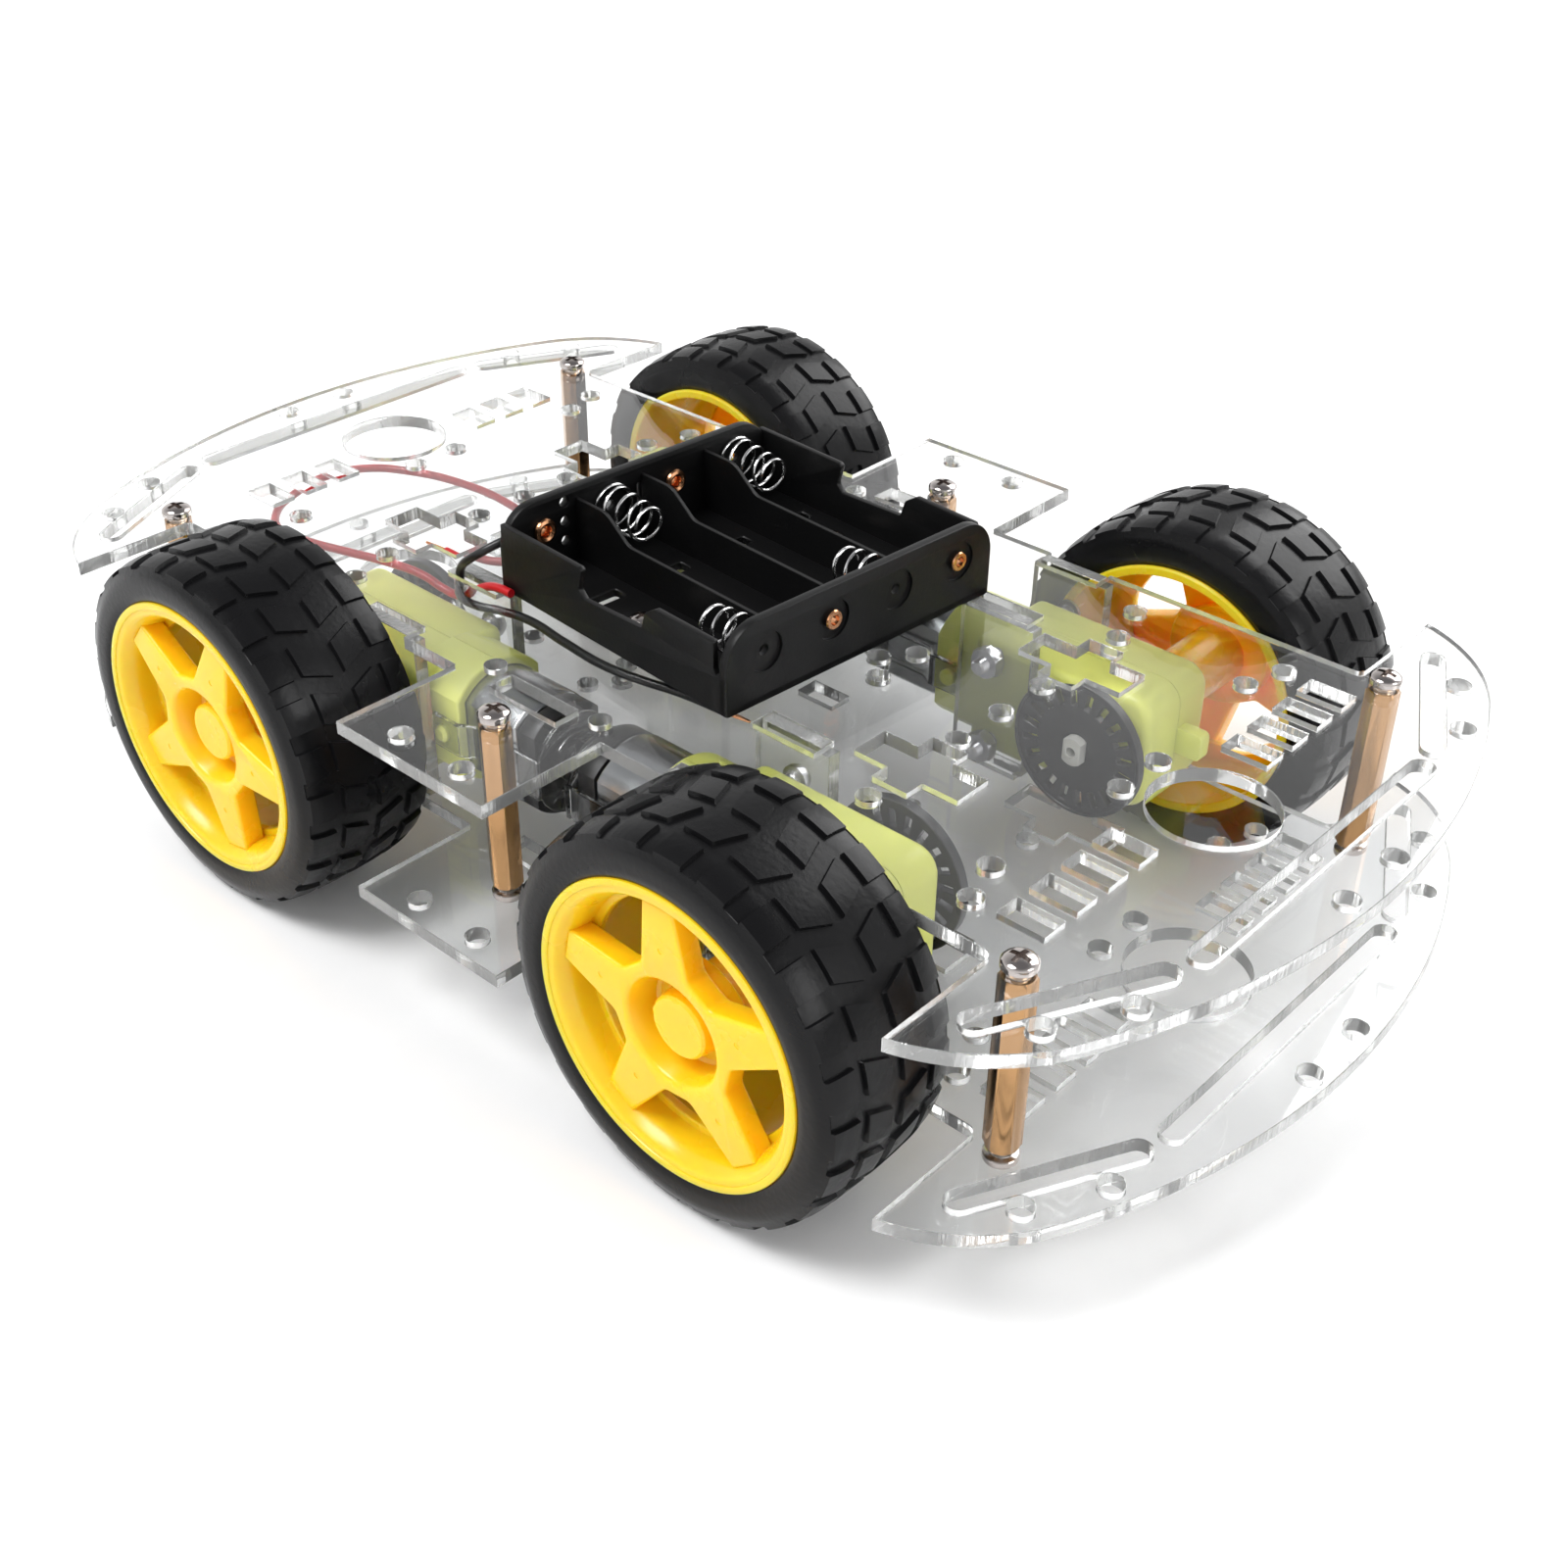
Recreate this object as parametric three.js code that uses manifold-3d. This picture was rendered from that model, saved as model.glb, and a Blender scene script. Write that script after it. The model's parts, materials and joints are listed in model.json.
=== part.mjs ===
// Four wheel robot chassis: two clear acrylic decks on brass standoffs, four plastic gearmotors
// clamped between acrylic T brackets, slotted encoder discs, star wheels, and a battery holder for
// four AA cells with its two leads. Millimetres; +X is the front, +Y the left side, +Z is up, and
// the origin is on the ground under the centre of the decks.
import * as THREE from "three";
import { mergeVertices } from "three/addons/utils/BufferGeometryUtils.js";
import Module from "manifold-3d";

const wasm = await Module();
wasm.setup();

// ---- driving dimensions -------------------------------------------------------------------------
const GAP = 0.3; // clearance between neighbouring pieces that would otherwise touch
const TYRE_RADIUS = 33;
const TYRE_WIDTH = 26.5;
const RIM_RADIUS = 25.2;
const AXLE_X = 57.5; // half the wheelbase
const AXLE_Z = TYRE_RADIUS;
const WHEEL_Y = 64.5; // middle of the tyre

const DECK_THICK = 2.5;
const LOWER_DECK_Z = 18; // underside of the lower deck
const STANDOFF_LENGTH = 30;
const LOWER_DECK_TOP = LOWER_DECK_Z + DECK_THICK;
const UPPER_DECK_Z = LOWER_DECK_TOP + STANDOFF_LENGTH;
const UPPER_DECK_TOP = UPPER_DECK_Z + DECK_THICK;

const DECK_HALF_LENGTH = 127;
const BODY_HALF_WIDTH = 50.7;
const TAB_HALF_LENGTH = 17.5; // the tab between the wheels
const TAB_HALF_WIDTH = 75;
const WING_X = 94.2; // straight inner edge of the bumper's wings
const BUMPER_RADIUS = 131.6;
const BUMPER_SWEEP = (25.7 * Math.PI) / 180; // half angle of the wide bumper arc
const CORNER_RADIUS = 32.5;

const SCREW_HOLE_RADIUS = 1.7;
const SMALL_HOLE_RADIUS = 2.1;
const STANDOFFS = [
  ["front_left", 98.5, 50.5],
  ["front_right", 98.5, -50.5],
  ["middle_left", 0, 57.3],
  ["middle_right", 0, -57.3],
  ["rear_left", -98.5, 50.5],
  ["rear_right", -98.5, -50.5],
];

const CASE_INNER_Y = 28.3; // inboard face of the gearbox
const CASE_WIDTH = 18.8;
const CASE_OUTER_Y = CASE_INNER_Y + CASE_WIDTH;
const MOTOR_Y = CASE_INNER_Y + CASE_WIDTH / 2; // motor axis, in the gearbox's parting plane
const CASE_HALF_HEIGHT = 11.25;
const CASE_NOSE_X = 68.7;
const CASE_REAR_X = 31.7;
const NECK_END_X = 22.6; // end of the neck that holds the motor
const CASE_WALL = 1.6;
const CLAMP_BOLT_X = 36.9;
const CLAMP_BOLT_Z = 8.8; // above and below the axle

const MOTOR_RADIUS = 10;
const MOTOR_HALF_FLAT = 7.6; // half the width across the can's two flats
const CAN_FRONT_X = 31;
const CAN_REAR_X = 9.6;
const CAP_REAR_X = 5.2;

const SHAFT_RADIUS = 2.7;
const SHAFT_HALF_FLAT = 1.85;
const SHAFT_INNER_Y = 22;
const SHAFT_OUTER_Y = 56.2;

// Two reduction stages of the same ratio between the motor's pinion and the wheel.
const STAGE_RATIO = 3.5;
const CROWN_X = 46; // axis of the crown gear
const GEAR_DISTANCE = AXLE_X - CROWN_X;
const SMALL_GEAR_RADIUS = GEAR_DISTANCE / (1 + STAGE_RATIO);
const LARGE_GEAR_RADIUS = GEAR_DISTANCE - SMALL_GEAR_RADIUS;
const MOTOR_PINION_RADIUS = 2.4;
const CROWN_RADIUS = MOTOR_PINION_RADIUS * STAGE_RATIO;

const DISC_Y = 23.6; // inboard face of the encoder disc
const DISC_THICK = 1.6;
const DISC_RADIUS = 13;
const DISC_SLOTS = 20;
const HUB_OUTER_Y = 27.4; // end of the disc's hub, beside the gearbox

const BRACKET_THICK = 2.6;
const BRACKET_X = 37.4; // middle of the bracket and of the deck slots it sits in
const BRACKET_HALF_WIDTH = 7.9;
const BRACKET_TAB_HALF_WIDTH = 6.3;
const BRACKET_SLOT_LENGTH = 13;
const BRACKET_NOTCH_DEPTH = 4.6; // in from the deck's edge, for the outer bracket
const INNER_SLOT_Y = 27.8;
const INNER_SLOT_WIDTH = 4.8;

const HOLDER_LENGTH = 58.9; // along the cells
const HOLDER_WIDTH = 62.4; // across the four cells
const HOLDER_HEIGHT = 15.5;
const HOLDER_CENTRE = [0.3, 0.85];
const HOLDER_TURN = (-4.2 * Math.PI) / 180;
const HOLDER_END_WALL = 1.8;
const HOLDER_SIDE_WALL = 1.2;
const HOLDER_FLOOR = 1.6;
const HOLDER_ROUND = 7; // top corners of the end walls
const HOLDER_RIB = 0.6;
const HOLDER_RIB_SHAPE = {
  rearHeight: 13, frontHeight: 9, middleHeight: 9, endLength: 8, slope: 6,
};
const HOLDER_SIDE_SHAPE = {
  rearHeight: 12.9, frontHeight: 12.9, middleHeight: 7.4, endLength: 16.6, slope: 3,
};
const CELL_PITCH = (HOLDER_WIDTH - 2 * HOLDER_SIDE_WALL + HOLDER_RIB) / 4;

const LEAD_RADIUS = 0.8;
const LEAD_SIDES = 8;

// The red lead leaves the holder's right rear corner and the black one its rear wall. Both go down
// through the same deck slot, beside the bracket's tab, and run under the upper deck. The points
// are the middle of the lead.
const RED_LEAD_ROUTE = [
  [-27.6, -29.4, 54.1], [-31.2, -29.3, 53.9], [-34.8, -29.2, 52.7], [-37.6, -29.2, 50.7],
  [-39.4, -29.2, 48.2], [-42.6, -29.3, 46.6], [-46.4, -29.7, 46.8], [-50.6, -30.5, 48.1],
  [-58.6, -32.2, 48.6],
  [-67.5, -34.8, 48.6], [-76.0, -37.2, 48.6], [-84.0, -38.0, 48.6], [-91.0, -33.6, 48.6],
  [-95.0, -26.2, 48.6], [-96.8, -17.6, 48.6], [-94.2, -10.2, 48.6], [-86.6, -4.8, 48.6],
  [-73.0, -1.0, 48.6], [-60.6, -1.0, 48.6], [-50.0, -3.6, 48.6], [-43.4, -8.8, 48.6],
  [-41.4, -14.4, 48.6], [-44.6, -18.4, 48.6], [-51.0, -20.0, 48.6], [-57.0, -20.2, 48.6],
];
const BLACK_LEAD_ROUTE = [
  [-32.2, -19.4, 61.0], [-33.2, -23.4, 61.0], [-34.4, -26.6, 60.2], [-36.4, -28.8, 58.6],
  [-38.8, -29.6, 56.7], [-40.8, -29.3, 54.9], [-41.8, -29.15, 53.1], [-42.0, -29.15, 51.3],
  [-41.6, -29.6, 49.6], [-39.8, -31.2, 48.7], [-35.4, -31.8, 48.5], [-30.0, -30.0, 48.5],
  [-24.4, -28.9, 48.5], [-13.6, -29.9, 48.5], [-2.8, -30.6, 48.5], [5.0, -29.6, 48.5],
  [12.6, -28.0, 48.5], [21.6, -27.2, 48.5],
];

// ---- materials ----------------------------------------------------------------------------------
function material(color, roughness, metalness = 0, opacity = 1) {
  return new THREE.MeshStandardMaterial({
    color, roughness, metalness, opacity, transparent: opacity < 1,
  });
}
const CLEAR = material(0xe8eff0, 0.06, 0, 0.3);
const BRASS = material(0xc08a55, 0.3, 0.9);
const BLACK_PLASTIC = material(0x111112, 0.5);
const DARK_PLASTIC = material(0x26272a, 0.4);
const GEAR_CASE = material(0xd7de3c, 0.4);
const WHITE_NYLON = material(0xe9e7df, 0.5);
const STEEL = material(0xb9bbbd, 0.3, 1);
const RIM_YELLOW = material(0xf6c413, 0.35);
const RUBBER = material(0x161616, 0.75);
const RED_SLEEVE = material(0xc01626, 0.4);
const BLACK_SLEEVE = material(0x141414, 0.4);

// ---- geometry helpers ---------------------------------------------------------------------------
function solidOf(geometry) {
  const plain = geometry.index ? geometry.toNonIndexed() : geometry.clone();
  plain.deleteAttribute("normal");
  plain.deleteAttribute("uv");
  const merged = mergeVertices(plain, 1e-3);
  return new wasm.Manifold(new wasm.Mesh({
    numProp: 3,
    vertProperties: merged.attributes.position.array,
    triVerts: new Uint32Array(merged.index.array),
  }));
}

function geometryOf(solid) {
  const mesh = solid.getMesh();
  const geometry = new THREE.BufferGeometry();
  geometry.setAttribute("position", new THREE.BufferAttribute(mesh.vertProperties, 3));
  geometry.setIndex(new THREE.BufferAttribute(mesh.triVerts, 1));
  geometry.computeVertexNormals();
  return geometry;
}

function joined(...geometries) {
  return geometries.map(solidOf).reduce((sum, solid) => sum.add(solid));
}

function mesh(name, shape, meshMaterial) {
  const geometry = shape.isBufferGeometry ? shape : geometryOf(shape);
  const made = new THREE.Mesh(geometry, meshMaterial);
  made.name = name;
  return made;
}

function polygon(points) {
  return new THREE.Shape(points.map(([x, y]) => new THREE.Vector2(x, y)));
}

function circlePoints(x, y, radius, sides, turn = 0) {
  return Array.from({ length: sides }, (_, i) => {
    const angle = turn + (2 * Math.PI * i) / sides;
    return [x + radius * Math.cos(angle), y + radius * Math.sin(angle)];
  });
}

function rectanglePoints(x, y, width, height) {
  return [
    [x - width / 2, y - height / 2],
    [x + width / 2, y - height / 2],
    [x + width / 2, y + height / 2],
    [x - width / 2, y + height / 2],
  ];
}

// A shape in the XY plane, pushed along Z.
function alongZ(shape, from, to, curveSegments = 12) {
  const geometry = new THREE.ExtrudeGeometry(shape, {
    depth: to - from, bevelEnabled: false, curveSegments,
  });
  return geometry.translate(0, 0, from);
}

// A shape whose axes are world X and Z, pushed along Y.
function alongY(shape, from, to) {
  return alongZ(shape, -to, -from).rotateX(Math.PI / 2);
}

// A shape whose axes are world Y and Z, pushed along X.
function alongX(shape, from, to) {
  const turn = new THREE.Matrix4().makeBasis(
    new THREE.Vector3(0, 1, 0), new THREE.Vector3(0, 0, 1), new THREE.Vector3(1, 0, 0),
  );
  return alongZ(shape, from, to).applyMatrix4(turn);
}

// A closed profile of [radius, place along the axis] points, turned about the Y axis.
function turned(profile, sides) {
  return new THREE.LatheGeometry(profile.map(([r, y]) => new THREE.Vector2(r, y)), sides);
}

function moved(geometry, x, y, z) {
  return geometry.translate(x, y, z);
}

// A round end slot from one point to another.
function slotPoints([x0, y0], [x1, y1], width, endSteps = 4) {
  const heading = Math.atan2(y1 - y0, x1 - x0);
  const cap = (x, y, start) => Array.from({ length: endSteps + 1 }, (_, i) => {
    const angle = start + (Math.PI * i) / endSteps;
    return [x + (width / 2) * Math.cos(angle), y + (width / 2) * Math.sin(angle)];
  });
  return [...cap(x1, y1, heading - Math.PI / 2), ...cap(x0, y0, heading + Math.PI / 2)];
}

// ---- decks --------------------------------------------------------------------------------------
function arcPoints([x, y], radius, start, end, steps) {
  return Array.from({ length: steps + 1 }, (_, i) => {
    const angle = start + ((end - start) * i) / steps;
    return [x + radius * Math.cos(angle), y + radius * Math.sin(angle)];
  });
}

// The front left quarter of the deck's edge, from the middle of the bumper to the tab.
function deckQuarter() {
  const bumperCentre = [DECK_HALF_LENGTH - BUMPER_RADIUS, 0];
  const reach = BUMPER_RADIUS - CORNER_RADIUS;
  const cornerCentre = [
    bumperCentre[0] + reach * Math.cos(BUMPER_SWEEP), reach * Math.sin(BUMPER_SWEEP),
  ];
  const tipAngle = Math.acos((WING_X - cornerCentre[0]) / CORNER_RADIUS);
  const slotInnerX = BRACKET_X - BRACKET_SLOT_LENGTH / 2;
  const slotOuterX = BRACKET_X + BRACKET_SLOT_LENGTH / 2;
  return [
    ...arcPoints(bumperCentre, BUMPER_RADIUS, 0, BUMPER_SWEEP, 6),
    ...arcPoints(cornerCentre, CORNER_RADIUS, BUMPER_SWEEP, tipAngle, 6).slice(1),
    [WING_X, BODY_HALF_WIDTH],
    [slotOuterX, BODY_HALF_WIDTH],
    [slotOuterX, BODY_HALF_WIDTH - BRACKET_NOTCH_DEPTH],
    [slotInnerX, BODY_HALF_WIDTH - BRACKET_NOTCH_DEPTH],
    [slotInnerX, BODY_HALF_WIDTH],
    [TAB_HALF_LENGTH, BODY_HALF_WIDTH],
    [TAB_HALF_LENGTH, TAB_HALF_WIDTH],
  ];
}

function deckOutline() {
  const quarter = deckQuarter();
  const flip = (sx, sy) => quarter.map(([x, y]) => [x * sx, y * sy]);
  return [
    ...quarter,
    ...flip(-1, 1).reverse(),
    ...flip(-1, -1).slice(1),
    ...flip(1, -1).reverse().slice(0, -1),
  ];
}

function crossPoints(x, y) {
  const [reachX, reachY, armX, armY] = [10.2, 7.5, 3.4, 3.75];
  return [
    [reachX, armY], [armX, armY], [armX, reachY],
    [-armX, reachY], [-armX, armY], [-reachX, armY],
    [-reachX, -armY], [-armX, -armY], [-armX, -reachY],
    [armX, -reachY], [armX, -armY], [reachX, -armY],
  ].map(([dx, dy]) => [x + dx, y + dy]);
}

// The sensor and accessory screw holes of one quarter of the deck.
const SMALL_HOLES = [[107.8, 58.4], [114.5, 46.3], [123.3, 7], [84.3, 42.6], [7.3, 70.2]];

function deckHoles() {
  const holes = [];
  for (const sx of [1, -1]) {
    for (const sy of [1, -1]) {
      SMALL_HOLES.forEach(([x, y]) => holes.push(circlePoints(x * sx, y * sy, SMALL_HOLE_RADIUS, 6)));
      holes.push(crossPoints(58 * sx, 21.4 * sy));
      holes.push(rectanglePoints(
        BRACKET_X * sx, INNER_SLOT_Y * sy, BRACKET_SLOT_LENGTH, INNER_SLOT_WIDTH,
      ));
      holes.push(slotPoints([100.6 * sx, 63.4 * sy], [113.6 * sx, 37.9 * sy], 4));
    }
    holes.push(circlePoints(97.2 * sx, 0, 10.3, 20));
    holes.push(slotPoints([115 * sx, -31.5], [115 * sx, 31.5], 4));
  }
  for (const sy of [1, -1]) {
    holes.push(rectanglePoints(0, 49 * sy, 16, 5));
    holes.push(rectanglePoints(0, 23.2 * sy, 8.6, 5));
    [17.6, 25.3, 33, 40.7].forEach((y) => holes.push(rectanglePoints(93.2, y * sy, 8.2, 4.8)));
    [17.6, 25.3, 33].forEach((y) => holes.push(rectanglePoints(-93.2, y * sy, 8.2, 4.8)));
  }
  STANDOFFS.forEach(([, x, y]) => holes.push(circlePoints(x, y, SCREW_HOLE_RADIUS, 8)));
  return holes;
}

function deck(name, bottom) {
  const blank = solidOf(alongZ(polygon(deckOutline()), bottom, bottom + DECK_THICK));
  const cutter = (points) => solidOf(alongZ(polygon(points), bottom - 1, bottom + DECK_THICK + 1));
  return mesh(name, deckHoles().reduce((rest, hole) => rest.subtract(cutter(hole)), blank), CLEAR);
}

// A hexagonal brass standoff with a pan head screw in each end.
function standoff(name, x, y) {
  const body = polygon(circlePoints(0, 0, 2.9, 6));
  const shank = polygon(circlePoints(0, 0, 1.45, 6));
  const head = polygon(circlePoints(0, 0, 2.75, 10));
  const headHeight = 2;
  const solid = joined(
    alongZ(body, LOWER_DECK_TOP, UPPER_DECK_Z),
    alongZ(shank, LOWER_DECK_Z - 1, UPPER_DECK_TOP + 1),
    alongZ(head, LOWER_DECK_Z - headHeight, LOWER_DECK_Z),
    alongZ(head, UPPER_DECK_TOP, UPPER_DECK_TOP + headHeight),
  );
  const made = mesh("standoff_" + name, solid, BRASS);
  made.position.set(x, y, 0);
  return made;
}

// ---- gearmotor, in a corner's own frame: +X to the nearer end, +Y outboard, Z from the axle -------
function caseOutline() {
  const noseCut = 4;
  const neckHalfHeight = CASE_HALF_HEIGHT - 0.5;
  return [
    [CASE_NOSE_X - noseCut, -CASE_HALF_HEIGHT], [CASE_NOSE_X, -CASE_HALF_HEIGHT + noseCut],
    [CASE_NOSE_X, CASE_HALF_HEIGHT - noseCut], [CASE_NOSE_X - noseCut, CASE_HALF_HEIGHT],
    [CASE_REAR_X, CASE_HALF_HEIGHT], [CASE_REAR_X, neckHalfHeight], [NECK_END_X, neckHalfHeight],
    [NECK_END_X, -neckHalfHeight], [CASE_REAR_X, -neckHalfHeight],
    [CASE_REAR_X, -CASE_HALF_HEIGHT],
  ];
}

// The motor's flattened round section, grown by a clearance.
function motorSection(clearance) {
  const radius = MOTOR_RADIUS + clearance;
  const halfFlat = MOTOR_HALF_FLAT + clearance;
  const flatAngle = Math.acos(halfFlat / radius);
  return [
    ...arcPoints([0, 0], radius, flatAngle, Math.PI - flatAngle, 5),
    ...arcPoints([0, 0], radius, Math.PI + flatAngle, 2 * Math.PI - flatAngle, 5),
  ].map(([y, z]) => [MOTOR_Y + y, z]);
}

// One half of the gearbox shell. The two halves part in the plane of the motor's axis.
function caseHalf(name, outer) {
  const [wallY, partingY] = outer
    ? [CASE_OUTER_Y, MOTOR_Y + GAP / 2]
    : [CASE_INNER_Y, MOTOR_Y - GAP / 2];
  const innerWallY = wallY + (outer ? -CASE_WALL : CASE_WALL);
  const beyond = partingY + (outer ? -1 : 1);
  const span = (a, b) => [Math.min(a, b), Math.max(a, b)];
  const half = solidOf(alongY(polygon(caseOutline()), ...span(wallY, partingY)));
  const gearRoom = rectanglePoints(
    (CASE_NOSE_X + 33) / 2 - CASE_WALL / 2, 0,
    CASE_NOSE_X - 33 - CASE_WALL, 2 * (CASE_HALF_HEIGHT - CASE_WALL),
  );
  const cuts = [
    alongY(polygon(gearRoom), ...span(innerWallY, beyond)),
    alongX(polygon(motorSection(GAP)), NECK_END_X - 1, 34),
    alongY(polygon(circlePoints(AXLE_X, 0, 3, 12)), CASE_INNER_Y - 1, CASE_OUTER_Y + 1),
  ];
  let solid = cuts.reduce((rest, cut) => rest.subtract(solidOf(cut)), half);
  if (outer) solid = solid.add(solidOf(nosePeg()));
  return mesh(name, solid, GEAR_CASE);
}

// The flat peg on the nose.
function nosePeg() {
  const [length, halfHeight, thick] = [5, 2.6, 3];
  const peg = rectanglePoints(CASE_NOSE_X + (length - 1) / 2, 0, length + 1, 2 * halfHeight);
  return alongY(polygon(peg), MOTOR_Y + GAP / 2, MOTOR_Y + thick);
}

function motorCan(name) {
  const can = solidOf(alongX(polygon(motorSection(0)), CAN_REAR_X, CAN_FRONT_X));
  const room = alongX(polygon(circlePoints(MOTOR_Y, 0, 6.9, 12)), CAN_REAR_X - 1, CAN_FRONT_X - 1.5);
  const shaftHole = alongX(polygon(circlePoints(MOTOR_Y, 0, 1.6, 8)), CAN_REAR_X, CAN_FRONT_X + 1);
  return mesh(name, can.subtract(solidOf(room)).subtract(solidOf(shaftHole)), STEEL);
}

function motorEndCap(name) {
  const capFront = CAN_REAR_X - GAP;
  const bearing = polygon(circlePoints(MOTOR_Y, 0, 3.2, 12));
  const solid = joined(
    alongX(polygon(motorSection(-0.2)), CAP_REAR_X, capFront),
    alongX(bearing, CAP_REAR_X - 1.5, CAP_REAR_X + 1),
  );
  const shaftHole = alongX(polygon(circlePoints(MOTOR_Y, 0, 1.5, 8)), CAP_REAR_X, capFront + 1);
  return mesh(name, solid.subtract(solidOf(shaftHole)), BLACK_PLASTIC);
}

// Armature, shaft and pinion, which turn together about the motor's axis.
function motorRotor(name) {
  const armature = 6.2;
  const profile = [
    [0, 6.4], [1, 6.4], [1, 13], [armature, 13], [armature, 27], [1, 27], [1, 33.4],
    [MOTOR_PINION_RADIUS, 33.4], [MOTOR_PINION_RADIUS, 39], [0, 39],
  ];
  const rotor = turned(profile, 10).rotateZ(-Math.PI / 2);
  return mesh(name, moved(rotor, 0, MOTOR_Y, 0), STEEL);
}

// Crown gear and its own small gear, which drives the output gear.
function crownGear(name) {
  const top = MOTOR_Y - MOTOR_PINION_RADIUS - 0.1;
  const profile = [
    [0, 30.6], [1.5, 30.6], [1.5, top - 2], [CROWN_RADIUS, top - 2], [CROWN_RADIUS, top],
    [SMALL_GEAR_RADIUS - 0.05, top], [SMALL_GEAR_RADIUS - 0.05, 44.6], [0, 44.6],
  ];
  return mesh(name, moved(turned(profile, 16), CROWN_X, 0, 0), WHITE_NYLON);
}

// Output shaft with flats at both ends and the output gear in its middle.
function outputShaft(name) {
  const shaft = polygon(circlePoints(0, 0, SHAFT_RADIUS, 12));
  const keyed = polygon(rectanglePoints(0, 0, 2 * SHAFT_HALF_FLAT, 4 * SHAFT_RADIUS));
  const gear = polygon(circlePoints(0, 0, LARGE_GEAR_RADIUS - 0.1, 16));
  const flatEnds = solidOf(alongY(shaft, SHAFT_INNER_Y, SHAFT_OUTER_Y))
    .intersect(solidOf(alongY(keyed, SHAFT_INNER_Y - 1, SHAFT_OUTER_Y + 1)));
  const solid = flatEnds
    .add(solidOf(alongY(shaft, CASE_INNER_Y - 0.4, CASE_OUTER_Y + 0.4)))
    .add(solidOf(alongY(gear, 38.2, 44.2)));
  return mesh(name, moved(geometryOf(solid), AXLE_X, 0, 0), WHITE_NYLON);
}

// The hole that the flattened shaft end fits, as points in XZ.
function keyHole() {
  const halfWidth = SHAFT_HALF_FLAT + 0.15;
  return rectanglePoints(0, 0, 2 * halfWidth, 2 * (SHAFT_RADIUS + 0.15));
}

function encoderDisc(name) {
  const disc = polygon(circlePoints(0, 0, DISC_RADIUS, DISC_SLOTS));
  const hub = polygon(circlePoints(0, 0, 5, 10));
  hub.holes.push(polygon(keyHole()));
  disc.holes.push(polygon(keyHole()));
  for (let i = 0; i < DISC_SLOTS; i += 1) {
    const angle = (2 * Math.PI * (i + 0.5)) / DISC_SLOTS;
    const [inner, outer, half] = [8.2, 11.4, 0.65];
    const corner = (r, side) => [
      r * Math.cos(angle) - side * half * Math.sin(angle),
      r * Math.sin(angle) + side * half * Math.cos(angle),
    ];
    disc.holes.push(polygon([
      corner(inner, -1), corner(outer, -1), corner(outer, 1), corner(inner, 1),
    ]));
  }
  const solid = joined(alongY(disc, DISC_Y, DISC_Y + DISC_THICK), alongY(hub, DISC_Y, HUB_OUTER_Y));
  return mesh(name, moved(geometryOf(solid), AXLE_X, 0, 0), DARK_PLASTIC);
}

function wheelRim(name) {
  const [inner, outer] = [WHEEL_Y - TYRE_WIDTH / 2, WHEEL_Y + TYRE_WIDTH / 2];
  const well = RIM_RADIUS - 2;
  const barrel = turned([
    [well, inner], [RIM_RADIUS, inner], [RIM_RADIUS, outer], [well, outer], [well, inner],
  ], 24);
  const web = polygon(circlePoints(0, 0, well + 1, 24));
  const windows = 5;
  for (let i = 0; i < windows; i += 1) {
    const angle = Math.PI / 2 + (2 * Math.PI * (i + 0.5)) / windows;
    const at = (r, turn) => [r * Math.cos(angle + turn), r * Math.sin(angle + turn)];
    web.holes.push(polygon([at(9.5, 0), at(20.5, -0.4), at(22, 0), at(20.5, 0.4)]));
  }
  const boss = polygon(circlePoints(0, 0, 5.6, 12));
  const solid = joined(barrel, alongY(web, 66, 70), alongY(boss, CASE_OUTER_Y + 2, 69))
    .subtract(solidOf(alongY(polygon(keyHole()), CASE_OUTER_Y, SHAFT_OUTER_Y + 0.4)));
  return mesh(name, moved(geometryOf(solid), AXLE_X, 0, 0), RIM_YELLOW);
}

function tyre(name) {
  const bore = RIM_RADIUS + GAP;
  const half = TYRE_WIDTH / 2;
  const profile = [
    [bore, -half], [TYRE_RADIUS - 2.6, -half + 0.5], [TYRE_RADIUS, -half + 4.2],
    [TYRE_RADIUS, half - 4.2], [TYRE_RADIUS - 2.6, half - 0.5], [bore, half], [bore, -half],
  ];
  return mesh(name, moved(turned(profile, 28), AXLE_X, WHEEL_Y, 0), RUBBER);
}

// An acrylic T bracket whose top and bottom tabs sit in the decks' slots.
function bracket(name, nearY) {
  const bodyHalf = STANDOFF_LENGTH / 2 - 0.1;
  const tabHalf = bodyHalf + 0.1 + DECK_THICK;
  const middle = (LOWER_DECK_TOP + UPPER_DECK_Z) / 2 - AXLE_Z;
  const edge = [
    [BRACKET_HALF_WIDTH, bodyHalf], [BRACKET_TAB_HALF_WIDTH, bodyHalf],
    [BRACKET_TAB_HALF_WIDTH, tabHalf],
  ];
  const flip = (sx, sz) => edge.map(([x, z]) => [BRACKET_X + x * sx, middle + z * sz]);
  const shape = polygon([
    ...flip(1, 1), ...flip(-1, 1).reverse(), ...flip(-1, -1), ...flip(1, -1).reverse(),
  ]);
  for (const side of [1, -1]) {
    shape.holes.push(polygon(circlePoints(CLAMP_BOLT_X, side * CLAMP_BOLT_Z, 1.6, 6)));
  }
  return mesh(name, alongY(shape, nearY, nearY + BRACKET_THICK), CLEAR);
}

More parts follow.
